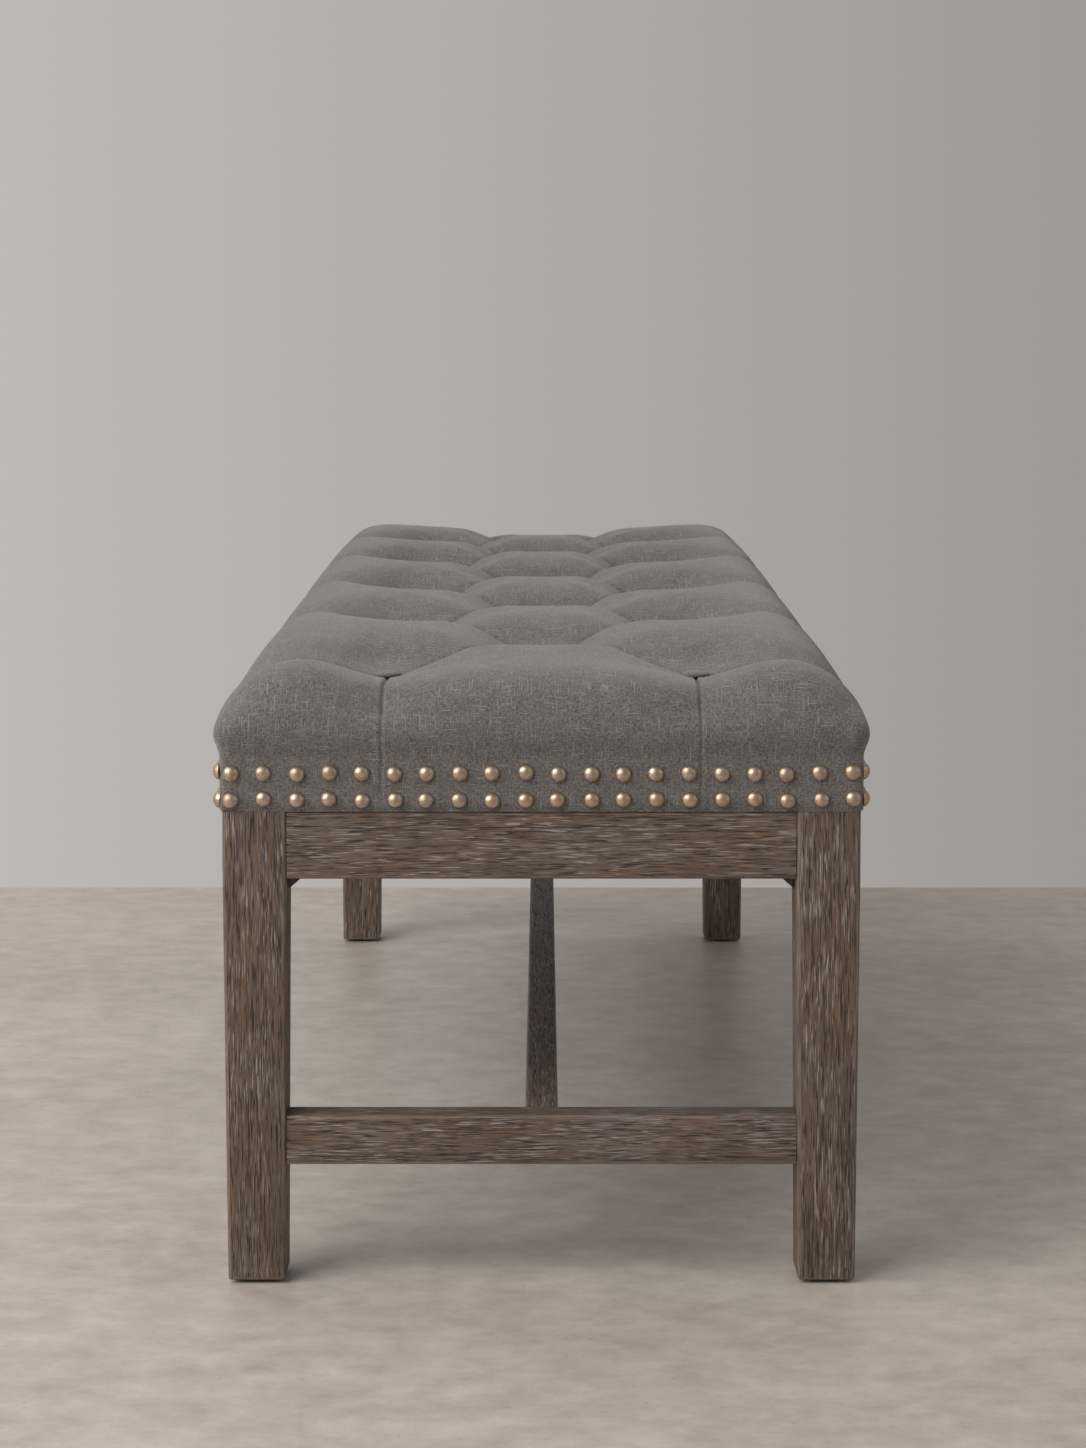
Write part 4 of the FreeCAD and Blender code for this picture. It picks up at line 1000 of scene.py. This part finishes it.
def plaster_floor():
    material = bpy.data.materials.new("plaster_floor")
    material.use_nodes = True
    nodes = material.node_tree.nodes
    links = material.node_tree.links
    shader = nodes["Principled BSDF"]
    place = nodes.new("ShaderNodeTexCoord")
    clouds = []
    for scale, detail in (((2.2, 3.4, 1), 5), ((24, 30, 1), 12), ((110, 110, 1), 5)):
        stretch = nodes.new("ShaderNodeMapping")
        stretch.inputs["Scale"].default_value = scale
        links.new(place.outputs["Object"], stretch.inputs["Vector"])
        cloud = nodes.new("ShaderNodeTexNoise")
        cloud.inputs["Scale"].default_value = 1
        cloud.inputs["Detail"].default_value = detail
        cloud.inputs["Roughness"].default_value = 0.70
        links.new(stretch.outputs["Vector"], cloud.inputs["Vector"])
        clouds.append(cloud.outputs["Fac"])
    both = nodes.new("ShaderNodeMath")
    both.operation = "MULTIPLY_ADD"
    both.inputs[1].default_value = 0.55
    links.new(clouds[0], both.inputs[0])
    links.new(clouds[1], both.inputs[2])
    tone = nodes.new("ShaderNodeMapRange")
    tone.inputs["From Min"].default_value = 0.57
    tone.inputs["From Max"].default_value = 0.96
    links.new(both.outputs["Value"], tone.inputs["Value"])
    specks = nodes.new("ShaderNodeMapRange")
    specks.inputs["From Min"].default_value = 0.60
    specks.inputs["From Max"].default_value = 0.72
    specks.inputs["To Max"].default_value = 0.45
    links.new(clouds[2], specks.inputs["Value"])
    gloss = nodes.new("ShaderNodeMapRange")
    gloss.inputs["To Min"].default_value = 0.34
    gloss.inputs["To Max"].default_value = 0.50
    links.new(clouds[1], gloss.inputs["Value"])
    links.new(gloss.outputs["Result"], shader.inputs["Roughness"])
    mix = nodes.new("ShaderNodeMix")
    mix.data_type = "RGBA"
    mix.inputs[6].default_value = (0.462, 0.414, 0.373, 1)
    mix.inputs[7].default_value = (0.672, 0.617, 0.568, 1)
    links.new(tone.outputs["Result"], mix.inputs["Factor"])
    speckled = nodes.new("ShaderNodeMix")
    speckled.data_type = "RGBA"
    speckled.inputs[7].default_value = (0.270, 0.232, 0.200, 1)
    links.new(specks.outputs["Result"], speckled.inputs["Factor"])
    links.new(mix.outputs[2], speckled.inputs[6])
    links.new(speckled.outputs[2], shader.inputs["Base Color"])
    bump = nodes.new("ShaderNodeBump")
    bump.inputs["Strength"].default_value = 0.10
    bump.inputs["Distance"].default_value = 0.002
    links.new(clouds[1], bump.inputs["Height"])
    links.new(bump.outputs["Normal"], shader.inputs["Normal"])
    bm = bmesh.new()
    bmesh.ops.create_grid(bm, x_segments=1, y_segments=1, size=9)
    staged("floor", bm, material)


WALL = 0.97


def plain_wall():
    """A wall that glows by itself, its painted light paler at its left as light from the left would leave it;
    from behind, nothing of it is seen.
    """
    material = bpy.data.materials.new("plain_wall")
    material.use_nodes = True
    nodes = material.node_tree.nodes
    links = material.node_tree.links
    place = nodes.new("ShaderNodeTexCoord")
    parts = nodes.new("ShaderNodeSeparateXYZ")
    links.new(place.outputs["Object"], parts.inputs["Vector"])
    # Painted light: the wall glows by itself, its colour running from paler at the left to darker at the
    # right, as a lamp on the left would light it.
    across = nodes.new("ShaderNodeMapRange")
    across.inputs["From Min"].default_value = -0.75
    across.inputs["From Max"].default_value = 0.75
    links.new(parts.outputs["X"], across.inputs["Value"])
    tint = nodes.new("ShaderNodeMix")
    tint.data_type = "RGBA"
    tint.inputs[6].default_value = (0.528, 0.492, 0.474, 1)
    tint.inputs[7].default_value = (0.336, 0.310, 0.293, 1)
    links.new(across.outputs["Result"], tint.inputs["Factor"])
    painted_light_glow = nodes.new("ShaderNodeEmission")
    links.new(tint.outputs[2], painted_light_glow.inputs["Color"])
    clear = nodes.new("ShaderNodeBsdfTransparent")
    side = nodes.new("ShaderNodeNewGeometry")
    one_sided = nodes.new("ShaderNodeMixShader")
    links.new(side.outputs["Backfacing"], one_sided.inputs[0])
    links.new(painted_light_glow.outputs["Emission"], one_sided.inputs[1])
    links.new(clear.outputs["BSDF"], one_sided.inputs[2])
    links.new(one_sided.outputs["Shader"], nodes["Material Output"].inputs["Surface"])
    bm = bmesh.new()
    bmesh.ops.create_grid(bm, x_segments=1, y_segments=1, size=9)
    bmesh.ops.rotate(bm, cent=(0, 0, 0), matrix=Matrix.Rotation(math.radians(90), 3, "X"), verts=bm.verts)
    bmesh.ops.translate(bm, vec=(0, WALL, 9), verts=bm.verts)
    staged("wall", bm, material)


def soft_light(name, place, size, power, tint):
    data = bpy.data.lights.new(name, "AREA")
    data.shape = "RECTANGLE"
    data.size, data.size_y = size
    data.energy = power
    data.color = tint
    lamp = bpy.data.objects.new(name, data)
    bpy.context.collection.objects.link(lamp)
    lamp.location = place
    aim = Vector((0, 0, 0.25)) - Vector(place)
    lamp.rotation_euler = aim.to_track_quat("-Z", "Y").to_euler()


plaster_floor()
plain_wall()
world = bpy.data.worlds.new("studio")
bpy.context.scene.world = world
world.use_nodes = True
world.node_tree.nodes["Background"].inputs["Color"].default_value = (0.43, 0.405, 0.385, 1)
world.node_tree.nodes["Background"].inputs["Strength"].default_value = 0.72
soft_light("window", (-2.6, -2.4, 2.5), (3.4, 3.0), 135, (1.0, 0.975, 0.95))
soft_light("fill", (2.8, -1.6, 1.6), (2.0, 2.0), 5, (1.0, 0.98, 0.96))
soft_light("top", (-1.6, 1.0, 2.8), (2.0, 1.4), 12, (1.0, 0.99, 0.98))
bpy.context.scene.view_settings.view_transform = "Standard"
